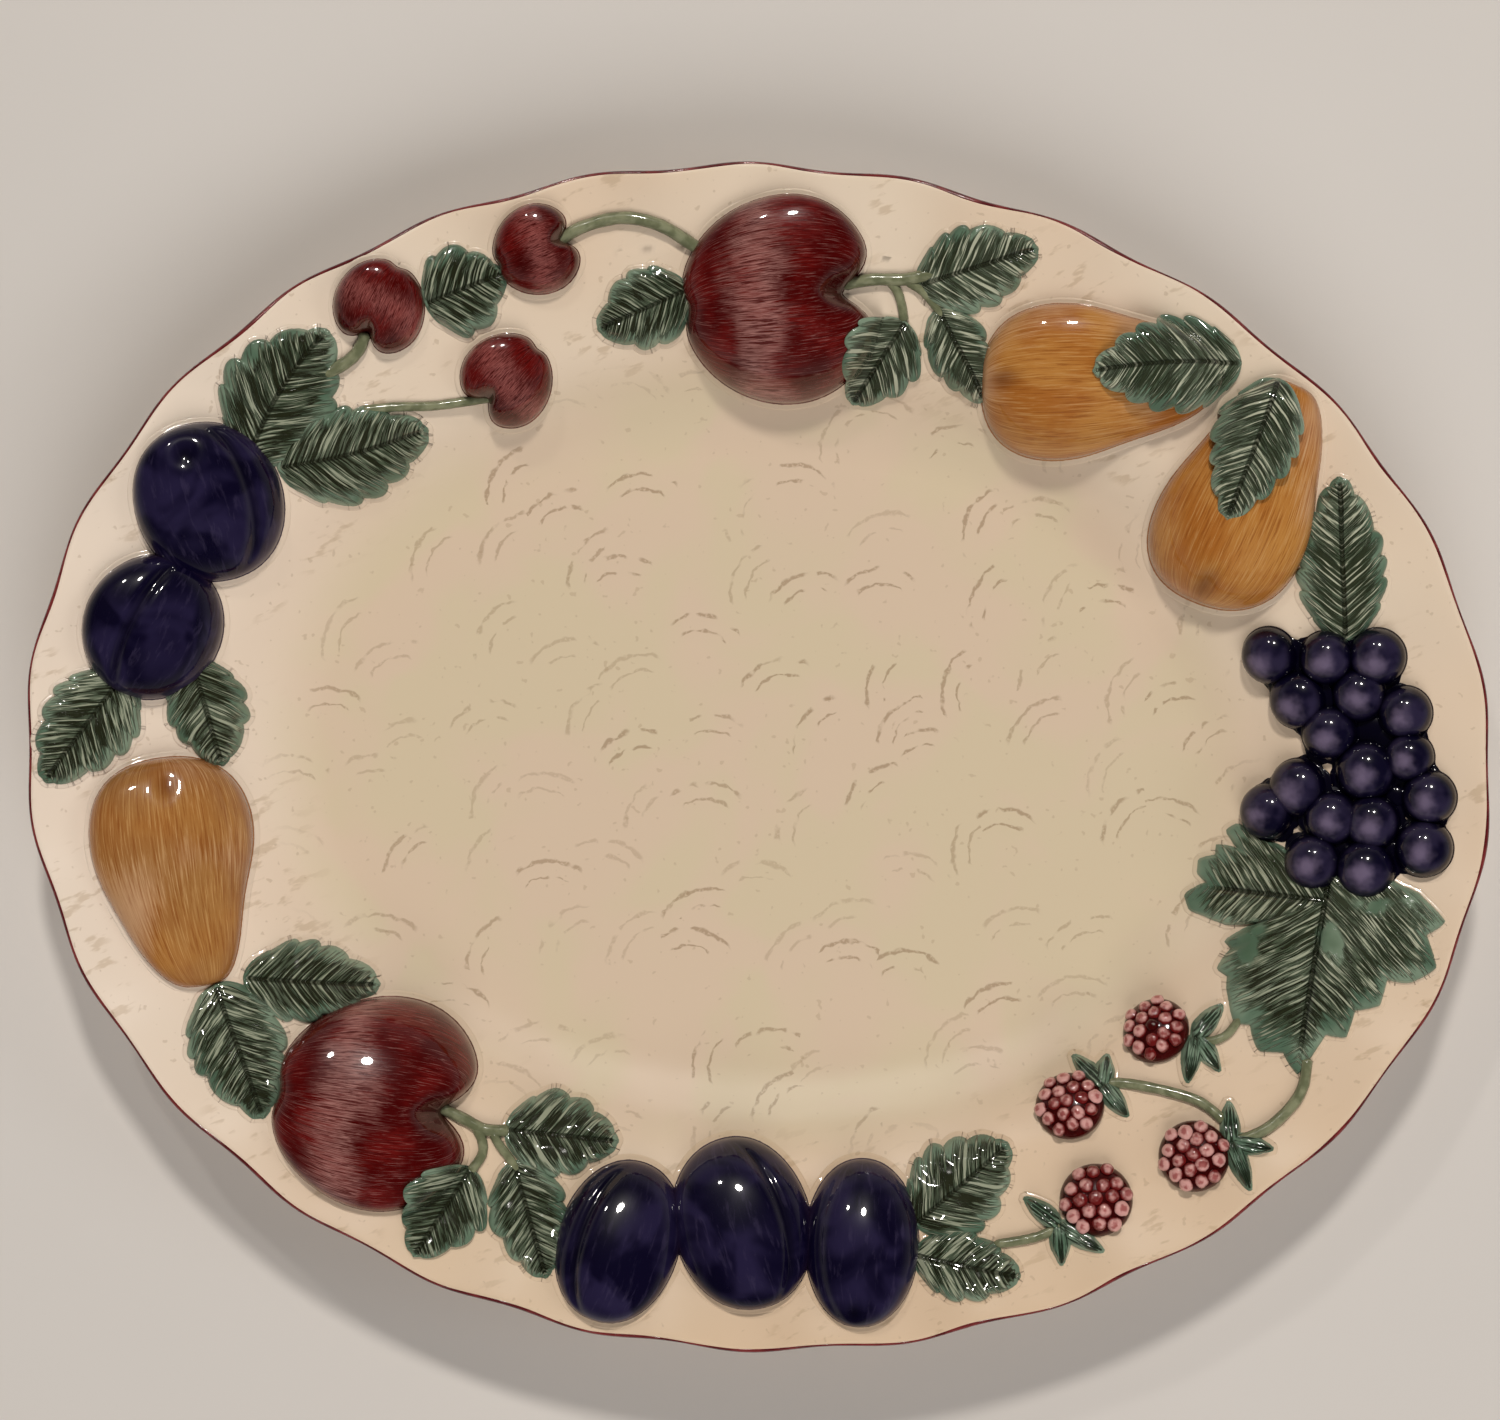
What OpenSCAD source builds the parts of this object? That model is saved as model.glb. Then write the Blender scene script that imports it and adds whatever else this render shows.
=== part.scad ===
// Oval china serving platter with a scalloped lip and a wreath of moulded fruit.
// The table is z = 0 and the origin is under the middle of the well.
// A sprig is placed by its angle round the rim (0 = right-hand end of the long
// axis, counter-clockwise) and by its inset from the lip line.

/* [Platter] */
// Length over the lip
platter_length = 420; // [390:1:450]
// Width over the lip
platter_width = 340; // [316:1:364]
// Height of the well floor above the table
floor_height = 8; // [7:0.5:10]
// Thickness of the china
wall = 5; // [4:0.5:6]
// Rise of the steep part between the well and the rim
cavetto_rise = 13; // [8:1:16]
// Rise of the broad rim
brim_rise = 15; // [8:1:20]
// Width of the broad rim, measured in from the lip
brim_run = 64; // [56:1:70]
// Distance from the lip to the flat of the well
well_inset = 82; // [78:1:86]
// Width of the steep part
cavetto_run = 38; // [30:1:42]

/* [Scalloped lip] */
// Number of scallops round the lip
flutes = 26; // [18:1:32]
// How far a scallop swings in and out
flute_depth = 1; // [0:0.1:2]
// How far a scallop swings up and down
flute_lift = 1.2; // [0:0.1:2]
// How far the scallops run in over the rim
flute_reach = 17; // [10:1:24]

/* [Foot] */
// Distance from the lip to the outside of the foot
foot_inset = 86; // [84:1:92]
// Width of the foot
foot_width = 6; // [4:0.5:8]

/* [Relief] */
// Height of an apple above the rim
apple_rise = 13; // [8:0.5:16]
// Height of a pear above the rim
pear_rise = 11.5; // [7:0.5:15]
// Height of a plum above the rim
plum_rise = 11; // [7:0.5:15]
// Height of a cherry above the rim
cherry_rise = 8; // [5:0.5:10]
// Height of a grape above the rim
grape_rise = 6.5; // [4:0.5:8]
// Height of a raspberry above the rim
raspberry_rise = 7; // [5:0.5:9]
// Height of a leaf above what it lies on
leaf_rise = 3; // [2:0.25:4]
// Thickness of a twig
twig_width = 3.6; // [3:0.1:4.5]
// How deep a sprig is pressed into the rim
press = 0.5; // [0.3:0.1:0.8]

/* [Hidden] */

half_length = platter_length/2 - flute_depth;
half_width = platter_width/2 - flute_depth;
foot_height = floor_height - wall;
rim_steps = 156;
flute_crowding = 3;     // degrees, evens the scallops out along the oval
flute_start = 260;
flute_drift = 25;
dome_steps = 24;
leaf_steps = 12;
twig_steps = 3;         // rings between two route points of a twig
tip = 0.8;              // width left at the end of a leaf

china = "#e6d6b8";
bisque = "#e9dfcd";
maroon = "#5a1c24";
apple_red = "#7d1d2a";
pear_gold = "#c98a3c";
plum_blue = "#2a2350";
leaf_green = "#4f6f5c";
twig_green = "#76795c";
berry_red = "#8a2b3a";

// Places and sizes of the sprigs that something else leans on:
// [angle, inset, turn of the axis towards the stem, half length, half width, taper, rise]
APPLE_TOP = [91.0, 37.4, 9, 28.3, 28.9, -0.06, apple_rise];
APPLE_BOTTOM = [225.7, 37.1, 355.5, 29.4, 29.7, -0.08, apple_rise];
PEAR_LEFT = [194.8, 34.7, 281.5, 33.1, 21.2, 0.28, pear_rise];
PEAR_UPPER = [51.6, 35.9, 5, 33.2, 21, 0.26, pear_rise];
PEAR_RIGHT = [31.9, 35.9, 71, 33.2, 21.2, 0.28, pear_rise];
PLUM_LEFT_UPPER = [158.7, 28.3, 107.6, 22.6, 20.8, 0, plum_rise];
PLUM_LEFT_LOWER = [171.5, 30.1, 67, 20.9, 18.9, 0, plum_rise];
PLUM_BOTTOM_LEFT = [257.5, 25.8, 75, 22.8, 17.4, 0, plum_rise];
PLUM_BOTTOM_MIDDLE = [271.6, 34.8, 111, 24, 19.7, 0, plum_rise];
PLUM_BOTTOM_RIGHT = [285.6, 28.7, 91.5, 23.1, 16.3, 0, plum_rise];

// ---------- the platter's surface ----------

// Radius of the lip line at an angle, before the scallops
function oval(a) = 1/norm([cos(a)/half_length, sin(a)/half_width]);

// Scallops: 1 where the lip swings out, -1 where it swings in
function flute(a) = cos(flutes*(a + flute_crowding*sin(2*a)) - flute_start - flute_drift*sin(a));

function fade(inset) = exp(-pow(inset/flute_reach, 2));

function ease(u) = let (v = min(1, max(0, u))) v*v*(3 - 2*v);

// Height of the upper surface at an inset, before the scallops
function brim(inset) = floor_height + cavetto_rise*ease((well_inset - inset)/cavetto_run)
    + brim_rise*pow(max(0, 1 - inset/brim_run), 1.25);

// A point on the rim, dropped below the upper surface
function rim_point(a, inset, drop) =
    let (f = flute(a)*fade(inset), r = oval(a) - inset + flute_depth*f)
    [r*cos(a), r*sin(a), brim(inset) - flute_lift*f - drop];

function rim_loop(inset, drop) = [for (i = [0:rim_steps - 1]) rim_point(360*i/rim_steps, inset, drop)];

// Height of the upper surface over a point of the plan
function top_z(p) =
    let (a = atan2(p.y, p.x), d = oval(a) - norm(p), f = flute(a)*fade(d))
    brim(d + flute_depth*f) - flute_lift*f;

// Plan position of a sprig
function spot(angle, inset) = (oval(angle) - inset)*[cos(angle), sin(angle)];

// Fall of the surface at a point, as a gradient
function slope(p) = [top_z(p + [1, 0]) - top_z(p - [1, 0]), top_z(p + [0, 1]) - top_z(p - [0, 1])]/2;

// Height of the flat sheet that touches the surface at the point c
function sheet_z(p, c) = top_z(c) + slope(c)*(p - c);

// ---------- solids from loops of points ----------

// Joins equal loops of points, each running counter-clockwise as seen along the way they follow
module skin(loops, ring = false) {
    n = len(loops[0]);
    m = len(loops);
    last = ring ? m - 1 : m - 2;
    sides = [for (k = [0:last], i = [0:n - 1], h = [0, 1])
        let (j = (i + 1) % n, a = k*n, b = ((k + 1) % m)*n)
        h == 0 ? [a + i, a + j, b + j] : [a + i, b + j, b + i]];
    first_cap = [for (i = [1:n - 2]) [0, i + 1, i]];
    last_cap = [for (i = [1:n - 2]) (m - 1)*n*[1, 1, 1] + [0, i, i + 1]];
    polyhedron([for (loop = loops, p = loop) p], ring ? sides : concat(sides, first_cap, last_cap), 4);
}

// ---------- fruit ----------

// Outline of a fruit lying on its side; t is 0 at the stem, and a notch lets the stem in
function fruit_outline(t, half_len, half_wid, taper, notch) =
    let (s = t > 180 ? t - 360 : t)
    [half_len*cos(t)*(1 - notch*exp(-pow(s/15, 2))), half_wid*sin(t)*(1 - taper*cos(t))];

// Crown of a fruit, from 1 in the middle to 0 at its outline
function crown(u) = sqrt(max(0, 1 - pow(u, 2.3)));

function turned(p, a) = [p.x*cos(a) - p.y*sin(a), p.x*sin(a) + p.y*cos(a)];

// Height that a fruit adds over a point of the plan
function fruit_z(p, f) =
    let (q = turned(p - spot(f[0], f[1]), -f[2]), x = q.x/f[3], y = q.y/(f[4]*(1 - f[5]*x)))
    f[6]*crown(norm([x, y]));

function fruit_loop(f, notch, u, sunk) =
    let (c = spot(f[0], f[1]), h = crown(u))
    [for (i = [0:dome_steps - 1])
        let (q = c + turned(u*fruit_outline(360*i/dome_steps, f[3], f[4], f[5], notch), f[2]))
        [q.x, q.y, sunk ? top_z(q) - press : top_z(q)*(1 - h) + sheet_z(q, c)*h + 0.4 + (f[6] - 0.4)*h]];

module fruit(f, notch = 0) {
    skin(concat([for (u = [0.15, 0.4, 0.62, 0.8, 0.93, 1]) fruit_loop(f, notch, u, false)],
        [for (u = [1, 0.5]) fruit_loop(f, notch, u, true)]));
}

// Stands its children on the rim, square to the surface
module on_rim(angle, inset) {
    c = spot(angle, inset);
    g = slope(c);
    translate([c.x, c.y, top_z(c)]) rotate(a = atan(norm(g)), v = [g.y, -g.x, 0]) children();
}

// A round berry, with rows of small beads if it has any
module berry(radius, rise, rows = 0) {
    bead = rows == 0 ? 0 : 0.45;
    steps = rows == 0 ? 9 : 4*rows;
    rotate_extrude($fn = 48) polygon(concat([[0, -press], [radius, -press]],
        [for (i = [0:steps - 1]) let (t = 90*i/steps, b = bead*(1 - cos(360*rows*i/steps))/2)
            [(radius - bead + b)*cos(t), (rise - bead + b)*sin(t)]], [[0, rise]]));
}

// ---------- leaves and twigs ----------

function over_z(p, under) = len(under) == 0 ? 0 : max([for (f = under) fruit_z(p, f)]);

function leaf_width(s) = pow(sin(180*pow(s, 0.75)), 0.75);

function leaf_loop(c, turn, length, width, bend, under, k) =
    let (s = k/leaf_steps, tooth = k % 2 == 0 ? 0.86 : 1,
        w = max(tip, width*leaf_width(min(0.999, max(0.001, s)))*tooth)/2,
        h = leaf_rise*(0.5 + 0.5*sin(180*s)),
        q = [for (v = [-1, -0.5, 0, 0.5, 1]) c + turned([length*(s - 0.5), bend*sin(180*s) + v*w], turn)],
        lift = [0.45, 1, 0.8, 1, 0.45])
    concat([for (i = [0:4]) [q[i].x, q[i].y, top_z(q[i]) + over_z(q[i], under) + h*lift[i]]],
        [for (i = [4, 2, 0]) [q[i].x, q[i].y, top_z(q[i]) + over_z(q[i], under) - press]]);

// A saw-edged leaf; length runs from its stalk to its tip, and under lists the fruit it lies over
module leaf(angle, inset, turn, length, width, bend = 0, under = []) {
    c = spot(angle, inset);
    color(leaf_green)
        skin([for (k = [0:leaf_steps]) leaf_loop(c, turn, length, width, bend, under, k)]);
}

// Smooth curve through four points, between the middle two
function between(p0, p1, p2, p3, u) =
    0.5*(2*p1 + u*(p2 - p0) + u*u*(2*p0 - 5*p1 + 4*p2 - p3) + u*u*u*(3*p1 - p0 - 3*p2 + p3));

// A twig laid along a route of [angle, inset] points
module twig(route, width = twig_width, under = []) {
    p = [for (r = route) spot(r[0], r[1])];
    n = len(p);
    line = concat([for (i = [0:n - 2], j = [0:twig_steps - 1])
        between(p[max(0, i - 1)], p[i], p[i + 1], p[min(n - 1, i + 2)], j/twig_steps)], [p[n - 1]]);
    m = len(line);
    color(twig_green) skin([for (i = [0:m - 1])
        let (way = line[min(m - 1, i + 1)] - line[max(0, i - 1)], side = [way.y, -way.x]/norm(way),
            z = top_z(line[i]) + over_z(line[i], under) + width*0.25)
        [for (t = [0:45:315]) let (q = line[i] + side*cos(t)*width/2)
            [q.x, q.y, z + sin(t)*(t < 180 ? 0.5*width : 0.25*width + press)]]]);
}

// Three pointed sepals; each is [direction, length] from the middle of the calyx
module calyx(angle, inset, sepals) {
    c = spot(angle, inset);
    for (s = sepals) {
        m = c + (s[1]/2 + 1)*[cos(s[0]), sin(s[0])];
        a = atan2(m.y, m.x);
        leaf(a, oval(a) - norm(m), s[0], s[1] - 2, 5.6);
    }
}

// ---------- the platter ----------

// Upper surface, lip and underside in one skin: [inset, drop below the upper surface]
section = [
    [82, 0], [75, 0], [69, 0], [62, 0], [54, 0], [45, 0], [34, 0], [24, 0], [16, 0], [10, 0], [5, 0],
    [1.8, 0], [0.5, 0.6], [0, 1.8], [0.6, 3.2],
    [5, wall - 0.6], [13, wall], [26, wall], [38, wall], [50, wall], [62, wall], [72, wall], [82, wall]
];

module platter_body() {
    color(china) skin([for (s = section) rim_loop(s[0], s[1])]);
}

function foot_outline(inset) =
    [for (i = [0:rim_steps - 1]) let (a = 360*i/rim_steps) (oval(a) - inset)*[cos(a), sin(a)]];

module foot_ring() {
    color(bisque) linear_extrude(foot_height) difference() {
        polygon(foot_outline(foot_inset));
        polygon(foot_outline(foot_inset + foot_width));
    }
}

module rim_line() {
    band = [[1.1, 0.1], [0.3, 0.25], [-0.25, 1.2], [-0.2, 2.1], [0.4, 1.9], [0.9, 0.8]];
    color(maroon) skin([for (s = band) rim_loop(s[0], s[1])], ring = true);
}

// ---------- top: apple with its leaves ----------

module apple_top() {
    color(apple_red) fruit(APPLE_TOP, 0.3);
}

module apple_top_twig() {
    twig([[83.2, 31.7], [80.3, 29], [76.6, 27.3], [74.1, 24.2]]);
    twig([[77.5, 32.2], [76.1, 35], [75.1, 38.3]], 2.6);
    twig([[74.7, 29.4], [73.4, 31.4], [71.4, 34.2]], 2.6);
}

module leaf_apple_top_left() {
    leaf(108, 39, 207, 28.3, 23);
}

module leaf_apple_top_upper() {
    leaf(69.5, 19.1, 20.7, 35.5, 24.3);
}

module leaf_apple_top_lower() {
    leaf(76.6, 51.6, 240, 27.5, 24, under = [APPLE_TOP]);
}

module leaf_apple_top_right() {
    leaf(66.8, 44.1, 302, 29.3, 17.8);
}

// ---------- upper left: cherries and their leaves ----------

module cherry_upper() {
    color(apple_red) on_rim(117.3, 17.2) berry(12.3, cherry_rise);
}

module cherry_left() {
    color(apple_red) on_rim(133.6, 16.4) berry(12.8, cherry_rise);
}

module cherry_lower() {
    color(apple_red) on_rim(127.2, 49.9) berry(12.8, cherry_rise);
}

module cherry_upper_stem() {
    twig([[115, 16], [112.2, 13.6], [108, 12.6], [104.3, 15.8], [101, 22]]);
}

module cherry_left_stem() {
    twig([[136.7, 21.7], [139.3, 25.4], [141.9, 25]]);
}

module cherry_lower_stem() {
    twig([[130.7, 53.3], [135.7, 49.5], [140.4, 43.6]], 2.8);
}

module leaf_cherry() {
    leaf(125.7, 21.6, 25.2, 24, 26.3);
}

module leaf_corner_large() {
    leaf(146.1, 23.4, 61.5, 43.6, 32.9, 2);
}

module leaf_corner_small() {
    leaf(146.4, 47, 18.9, 43.9, 28, -1.5);
}

// ---------- left: plums, pear and their leaves ----------

module plum_left_upper() {
    color(plum_blue) fruit(PLUM_LEFT_UPPER);
}

module plum_left_lower() {
    color(plum_blue) fruit(PLUM_LEFT_LOWER);
}

module leaf_plum_left_outer() {
    leaf(181, 16.4, 238.8, 38.2, 26.3);
}

module leaf_plum_left_inner() {
    leaf(179, 49.5, 288.4, 31.3, 22.5);
}

module pear_left() {
    color(pear_gold) fruit(PEAR_LEFT);
}

module leaf_pear_left_inner() {
    leaf(210.3, 51.6, 359, 37.6, 23.1);
}

module leaf_pear_left_outer() {
    leaf(213.1, 23.4, 294.4, 40.3, 27.2);
}

// ---------- lower left: apple and its leaves ----------

module apple_bottom() {
    color(apple_red) fruit(APPLE_BOTTOM, 0.3);
}

module apple_bottom_twig() {
    twig([[231.4, 45.4], [234.9, 45.3], [237.5, 44.9], [239.7, 47.3]]);
    twig([[236.8, 41.8], [238.3, 38.6], [238.8, 33]], 2.8);
    twig([[239.1, 42.2], [240.9, 40.6], [243.1, 37.7]], 2.6);
}

module leaf_apple_bottom_inner() {
    leaf(246.1, 50.9, 356.9, 32.4, 23.7);
}

module leaf_apple_bottom_outer() {
    leaf(238.8, 18.9, 240.7, 29.3, 25.2, under = [APPLE_BOTTOM]);
}

module leaf_apple_bottom_middle() {
    leaf(247.3, 25.7, 290.4, 33.3, 22.3);
}

// ---------- bottom: three plums and their leaves ----------

module plum_bottom_left() {
    color(plum_blue) fruit(PLUM_BOTTOM_LEFT);
}

module plum_bottom_middle() {
    color(plum_blue) fruit(PLUM_BOTTOM_MIDDLE);
}

module plum_bottom_right() {
    color(plum_blue) fruit(PLUM_BOTTOM_RIGHT);
}

module leaf_plum_bottom_upper() {
    leaf(299, 40.3, 43.4, 35.1, 27.3);
}

module leaf_plum_bottom_lower() {
    leaf(295.9, 17.6, 352.7, 30.4, 20);
}

// ---------- lower right: raspberries ----------

raspberry_radius = 11;
bead_rows = 4;

module raspberry(angle, inset) {
    color(berry_red) on_rim(angle, inset) berry(raspberry_radius, raspberry_rise, bead_rows);
}

module raspberry_low() {
    raspberry(310.9, 23.4);
}

module raspberry_inner() {
    raspberry(315.3, 50.8);
}

module raspberry_outer() {
    raspberry(321.1, 20.8);
}

module raspberry_high() {
    raspberry(329, 55.7);
}

module raspberry_low_calyx() {
    calyx(306.3, 21.2, [[147, 12], [277, 12], [334, 15]]);
}

module raspberry_inner_calyx() {
    calyx(320, 52.2, [[140, 11.5], [80, 8], [312, 12]]);
}

module raspberry_outer_calyx() {
    calyx(324.5, 18.4, [[95, 11.5], [354, 12.5], [294, 15]]);
}

module raspberry_high_calyx() {
    calyx(331, 47.6, [[53, 12.5], [308, 12.5], [263, 14]]);
}

module raspberry_twigs() {
    twig([[299.9, 21.2], [302.4, 20.2], [305.3, 20.1]], 2.8);
    twig([[320.9, 50.8], [323.5, 44.4], [325.3, 35.2], [326, 26]], 3.2);
    twig([[325.4, 15.9], [328.8, 14.3], [331.7, 15], [334.6, 19.7]]);
    twig([[330.8, 45.8], [332.6, 42.1], [335, 42.1]], 2.6);
}

// ---------- right: grapes and their leaves ----------

// Saw-edged outline of the big vine leaf about its stalk: [direction, reach]
vine_edge = [
    [16, 21], [8, 26], [-6, 33], [-15, 29], [-28, 35.5], [-40, 33], [-49, 28], [-60, 33],
    [-72, 32], [-79, 39], [-87, 38], [-96, 50], [-102, 45], [-110, 47], [-117, 41.5], [-122, 43.5],
    [-130, 39], [-137, 35], [-142, 36], [-147, 29.5], [-152, 30], [-156, 19], [-161, 28], [-166, 32],
    [-171, 37], [-177, 38], [-184, 32], [-188, 35], [-194, 35.5], [-199, 31.5], [-204, 32.5],
    [-208, 27], [-213, 32.5], [-219, 31.5], [-224, 22], [-240, 10], [-300, 8]
];

function vine_loop(c, u, lift) = [for (i = [len(vine_edge) - 1:-1:0])
    let (q = c + u*vine_edge[i][1]*[cos(vine_edge[i][0]), sin(vine_edge[i][0])])
    [q.x, q.y, top_z(q) + lift]];

module grape_leaf() {
    c = spot(349.4, 39.2);
    color(leaf_green) skin([vine_loop(c, 0.2, 0.8*leaf_rise), vine_loop(c, 0.6, leaf_rise),
        vine_loop(c, 0.9, 0.9*leaf_rise), vine_loop(c, 1, 0.5*leaf_rise), vine_loop(c, 1, -press),
        vine_loop(c, 0.5, -press)]);
}

// Grapes of one layer: each is [angle, inset, radius]
module grapes(places, raise) {
    color(plum_blue) for (g = places) on_rim(g[0], g[1]) berry(g[2], grape_rise + raise);
}

module grapes_back() {
    grapes([[9.6, 50.6, 8.3], [9.5, 33.8, 7.7], [3.6, 22.2, 7.1], [357.5, 42.8, 7.8]], 0);
}

module grapes_middle() {
    grapes([[14.8, 54.4, 8.3], [12.8, 26.4, 8.2], [7.5, 22.2, 7.7], [6, 43.7, 7.8], [0.3, 52.5, 8.4],
        [0.2, 16.6, 7.7], [357.5, 31.5, 8], [352.8, 45.5, 8.1]], 0.4);
}

module grapes_front() {
    grapes([[13.5, 40, 7.8], [2.3, 34.1, 8.6], [357.4, 59.8, 8.3], [355.8, 16.4, 8.3],
        [353.1, 30.8, 8.5]], 0.8);
}

module leaf_grape_top() {
    leaf(22.3, 25, 97, 46.5, 25);
}

// ---------- upper right: pears and their leaves ----------

module pear_right() {
    color(pear_gold) fruit(PEAR_RIGHT);
}

module leaf_pear_right() {
    leaf(35.6, 26.7, 253.8, 43, 25.2, under = [PEAR_RIGHT]);
}

module pear_upper() {
    color(pear_gold) fruit(PEAR_UPPER);
}

module leaf_pear_upper() {
    leaf(47.3, 23.4, 187, 43, 29, -1, under = [PEAR_UPPER]);
}

platter_body();
foot_ring();
rim_line();
apple_top();
apple_top_twig();
leaf_apple_top_left();
leaf_apple_top_upper();
leaf_apple_top_lower();
leaf_apple_top_right();
cherry_upper();
cherry_left();
cherry_lower();
cherry_upper_stem();
cherry_left_stem();
cherry_lower_stem();
leaf_cherry();
leaf_corner_large();
leaf_corner_small();
plum_left_upper();
plum_left_lower();
leaf_plum_left_outer();
leaf_plum_left_inner();
pear_left();
leaf_pear_left_inner();
leaf_pear_left_outer();
apple_bottom();
apple_bottom_twig();
leaf_apple_bottom_inner();
leaf_apple_bottom_outer();
leaf_apple_bottom_middle();
plum_bottom_left();
plum_bottom_middle();
plum_bottom_right();
leaf_plum_bottom_upper();
leaf_plum_bottom_lower();
raspberry_low();
raspberry_inner();
raspberry_outer();
raspberry_high();
raspberry_low_calyx();
raspberry_inner_calyx();
raspberry_outer_calyx();
raspberry_high_calyx();
raspberry_twigs();
grape_leaf();
grapes_back();
grapes_middle();
grapes_front();
leaf_grape_top();
pear_right();
leaf_pear_right();
pear_upper();
leaf_pear_upper();
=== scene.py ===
import math

import bmesh
import bpy
from mathutils import Matrix, Vector, noise


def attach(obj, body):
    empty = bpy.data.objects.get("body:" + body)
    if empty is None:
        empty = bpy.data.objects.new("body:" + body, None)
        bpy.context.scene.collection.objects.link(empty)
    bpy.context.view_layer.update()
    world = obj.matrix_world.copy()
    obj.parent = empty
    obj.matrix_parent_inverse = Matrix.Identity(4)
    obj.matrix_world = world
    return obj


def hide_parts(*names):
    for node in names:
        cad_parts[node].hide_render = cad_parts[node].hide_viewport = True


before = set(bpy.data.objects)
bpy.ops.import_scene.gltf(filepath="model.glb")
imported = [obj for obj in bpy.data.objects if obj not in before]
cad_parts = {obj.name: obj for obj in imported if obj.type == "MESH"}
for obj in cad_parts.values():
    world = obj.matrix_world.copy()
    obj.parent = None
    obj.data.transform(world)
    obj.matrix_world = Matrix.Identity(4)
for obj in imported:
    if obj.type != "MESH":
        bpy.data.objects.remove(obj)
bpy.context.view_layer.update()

MM = 0.001

# ---------------------------------------------------------------- the platter's shape, in metres

LIP_HALF_LENGTH = 0.209
LIP_HALF_WIDTH = 0.169
FLOOR_HEIGHT = 0.008
WALL = 0.005
CAVETTO_RISE = 0.013
CAVETTO_RUN = 0.038
BRIM_RISE = 0.015
BRIM_RUN = 0.064
WELL_INSET = 0.082
FLUTES = 26
FLUTE_DEPTH = 0.001
FLUTE_LIFT = 0.0012
FLUTE_REACH = 0.017
FOOT_INSET = 0.086
FOOT_WIDTH = 0.006
PRESS = 0.0006
FRUIT_LIFT = 0.0006
MERGE = 0.00012

APPLE_RISE, PEAR_RISE, PLUM_RISE, CHERRY_RISE = 0.013, 0.0115, 0.011, 0.008
GRAPE_RISE, RASPBERRY_RISE, LEAF_RISE, LAID_RISE = 0.0062, 0.0062, 0.003, 0.0025


def oval(a):
    """Radius of the lip line at an angle, before the scallops."""
    return 1 / math.hypot(math.cos(a) / LIP_HALF_LENGTH, math.sin(a) / LIP_HALF_WIDTH)


def flute(a):
    """Scallops: 1 where the lip swings out, -1 where it swings in."""
    start = math.radians(260 + 25 * math.sin(a))
    return math.cos(FLUTES * (a + math.radians(3) * math.sin(2 * a)) - start)


def fade(inset):
    return math.exp(-((inset / FLUTE_REACH) ** 2))


def ease(u):
    v = min(1, max(0, u))
    return v * v * (3 - 2 * v)


def brim(inset):
    """Height of the upper surface at an inset from the lip, before the scallops."""
    lift = BRIM_RISE * max(0, 1 - inset / BRIM_RUN) ** 1.25
    return FLOOR_HEIGHT + CAVETTO_RISE * ease((WELL_INSET - inset) / CAVETTO_RUN) + lift


def rim_point(a, inset, drop):
    f = flute(a) * fade(inset)
    r = oval(a) - inset + FLUTE_DEPTH * f
    return Vector((r * math.cos(a), r * math.sin(a), brim(inset) - FLUTE_LIFT * f - drop))


def top_z(p):
    """Height of the platter's upper surface over a point of the plan."""
    a = math.atan2(p[1], p[0])
    inset = oval(a) - math.hypot(p[0], p[1])
    f = flute(a) * fade(inset)
    return brim(inset + FLUTE_DEPTH * f) - FLUTE_LIFT * f


def spot(angle, inset):
    """Plan place of a sprig: degrees round the rim, and millimetres in from the lip."""
    a = math.radians(angle)
    r = oval(a) - inset * MM
    return Vector((r * math.cos(a), r * math.sin(a)))


def slope(p):
    e = 0.001
    return Vector((top_z(p + Vector((e, 0))) - top_z(p - Vector((e, 0))),
                   top_z(p + Vector((0, e))) - top_z(p - Vector((0, e))))) / (2 * e)


def turned(x, y, degrees):
    a = math.radians(degrees)
    return Vector((x * math.cos(a) - y * math.sin(a), x * math.sin(a) + y * math.cos(a)))


# ---------------------------------------------------------------- colours and glazes


def paint(red, green, blue):
    """A paint chip, given as it looks, as the light it sends back."""
    return tuple((c / 255 / 12.92 if c < 10.3 else ((c / 255 + 0.055) / 1.055) ** 2.4)
                 for c in (red, green, blue)) + (1.0,)


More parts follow.
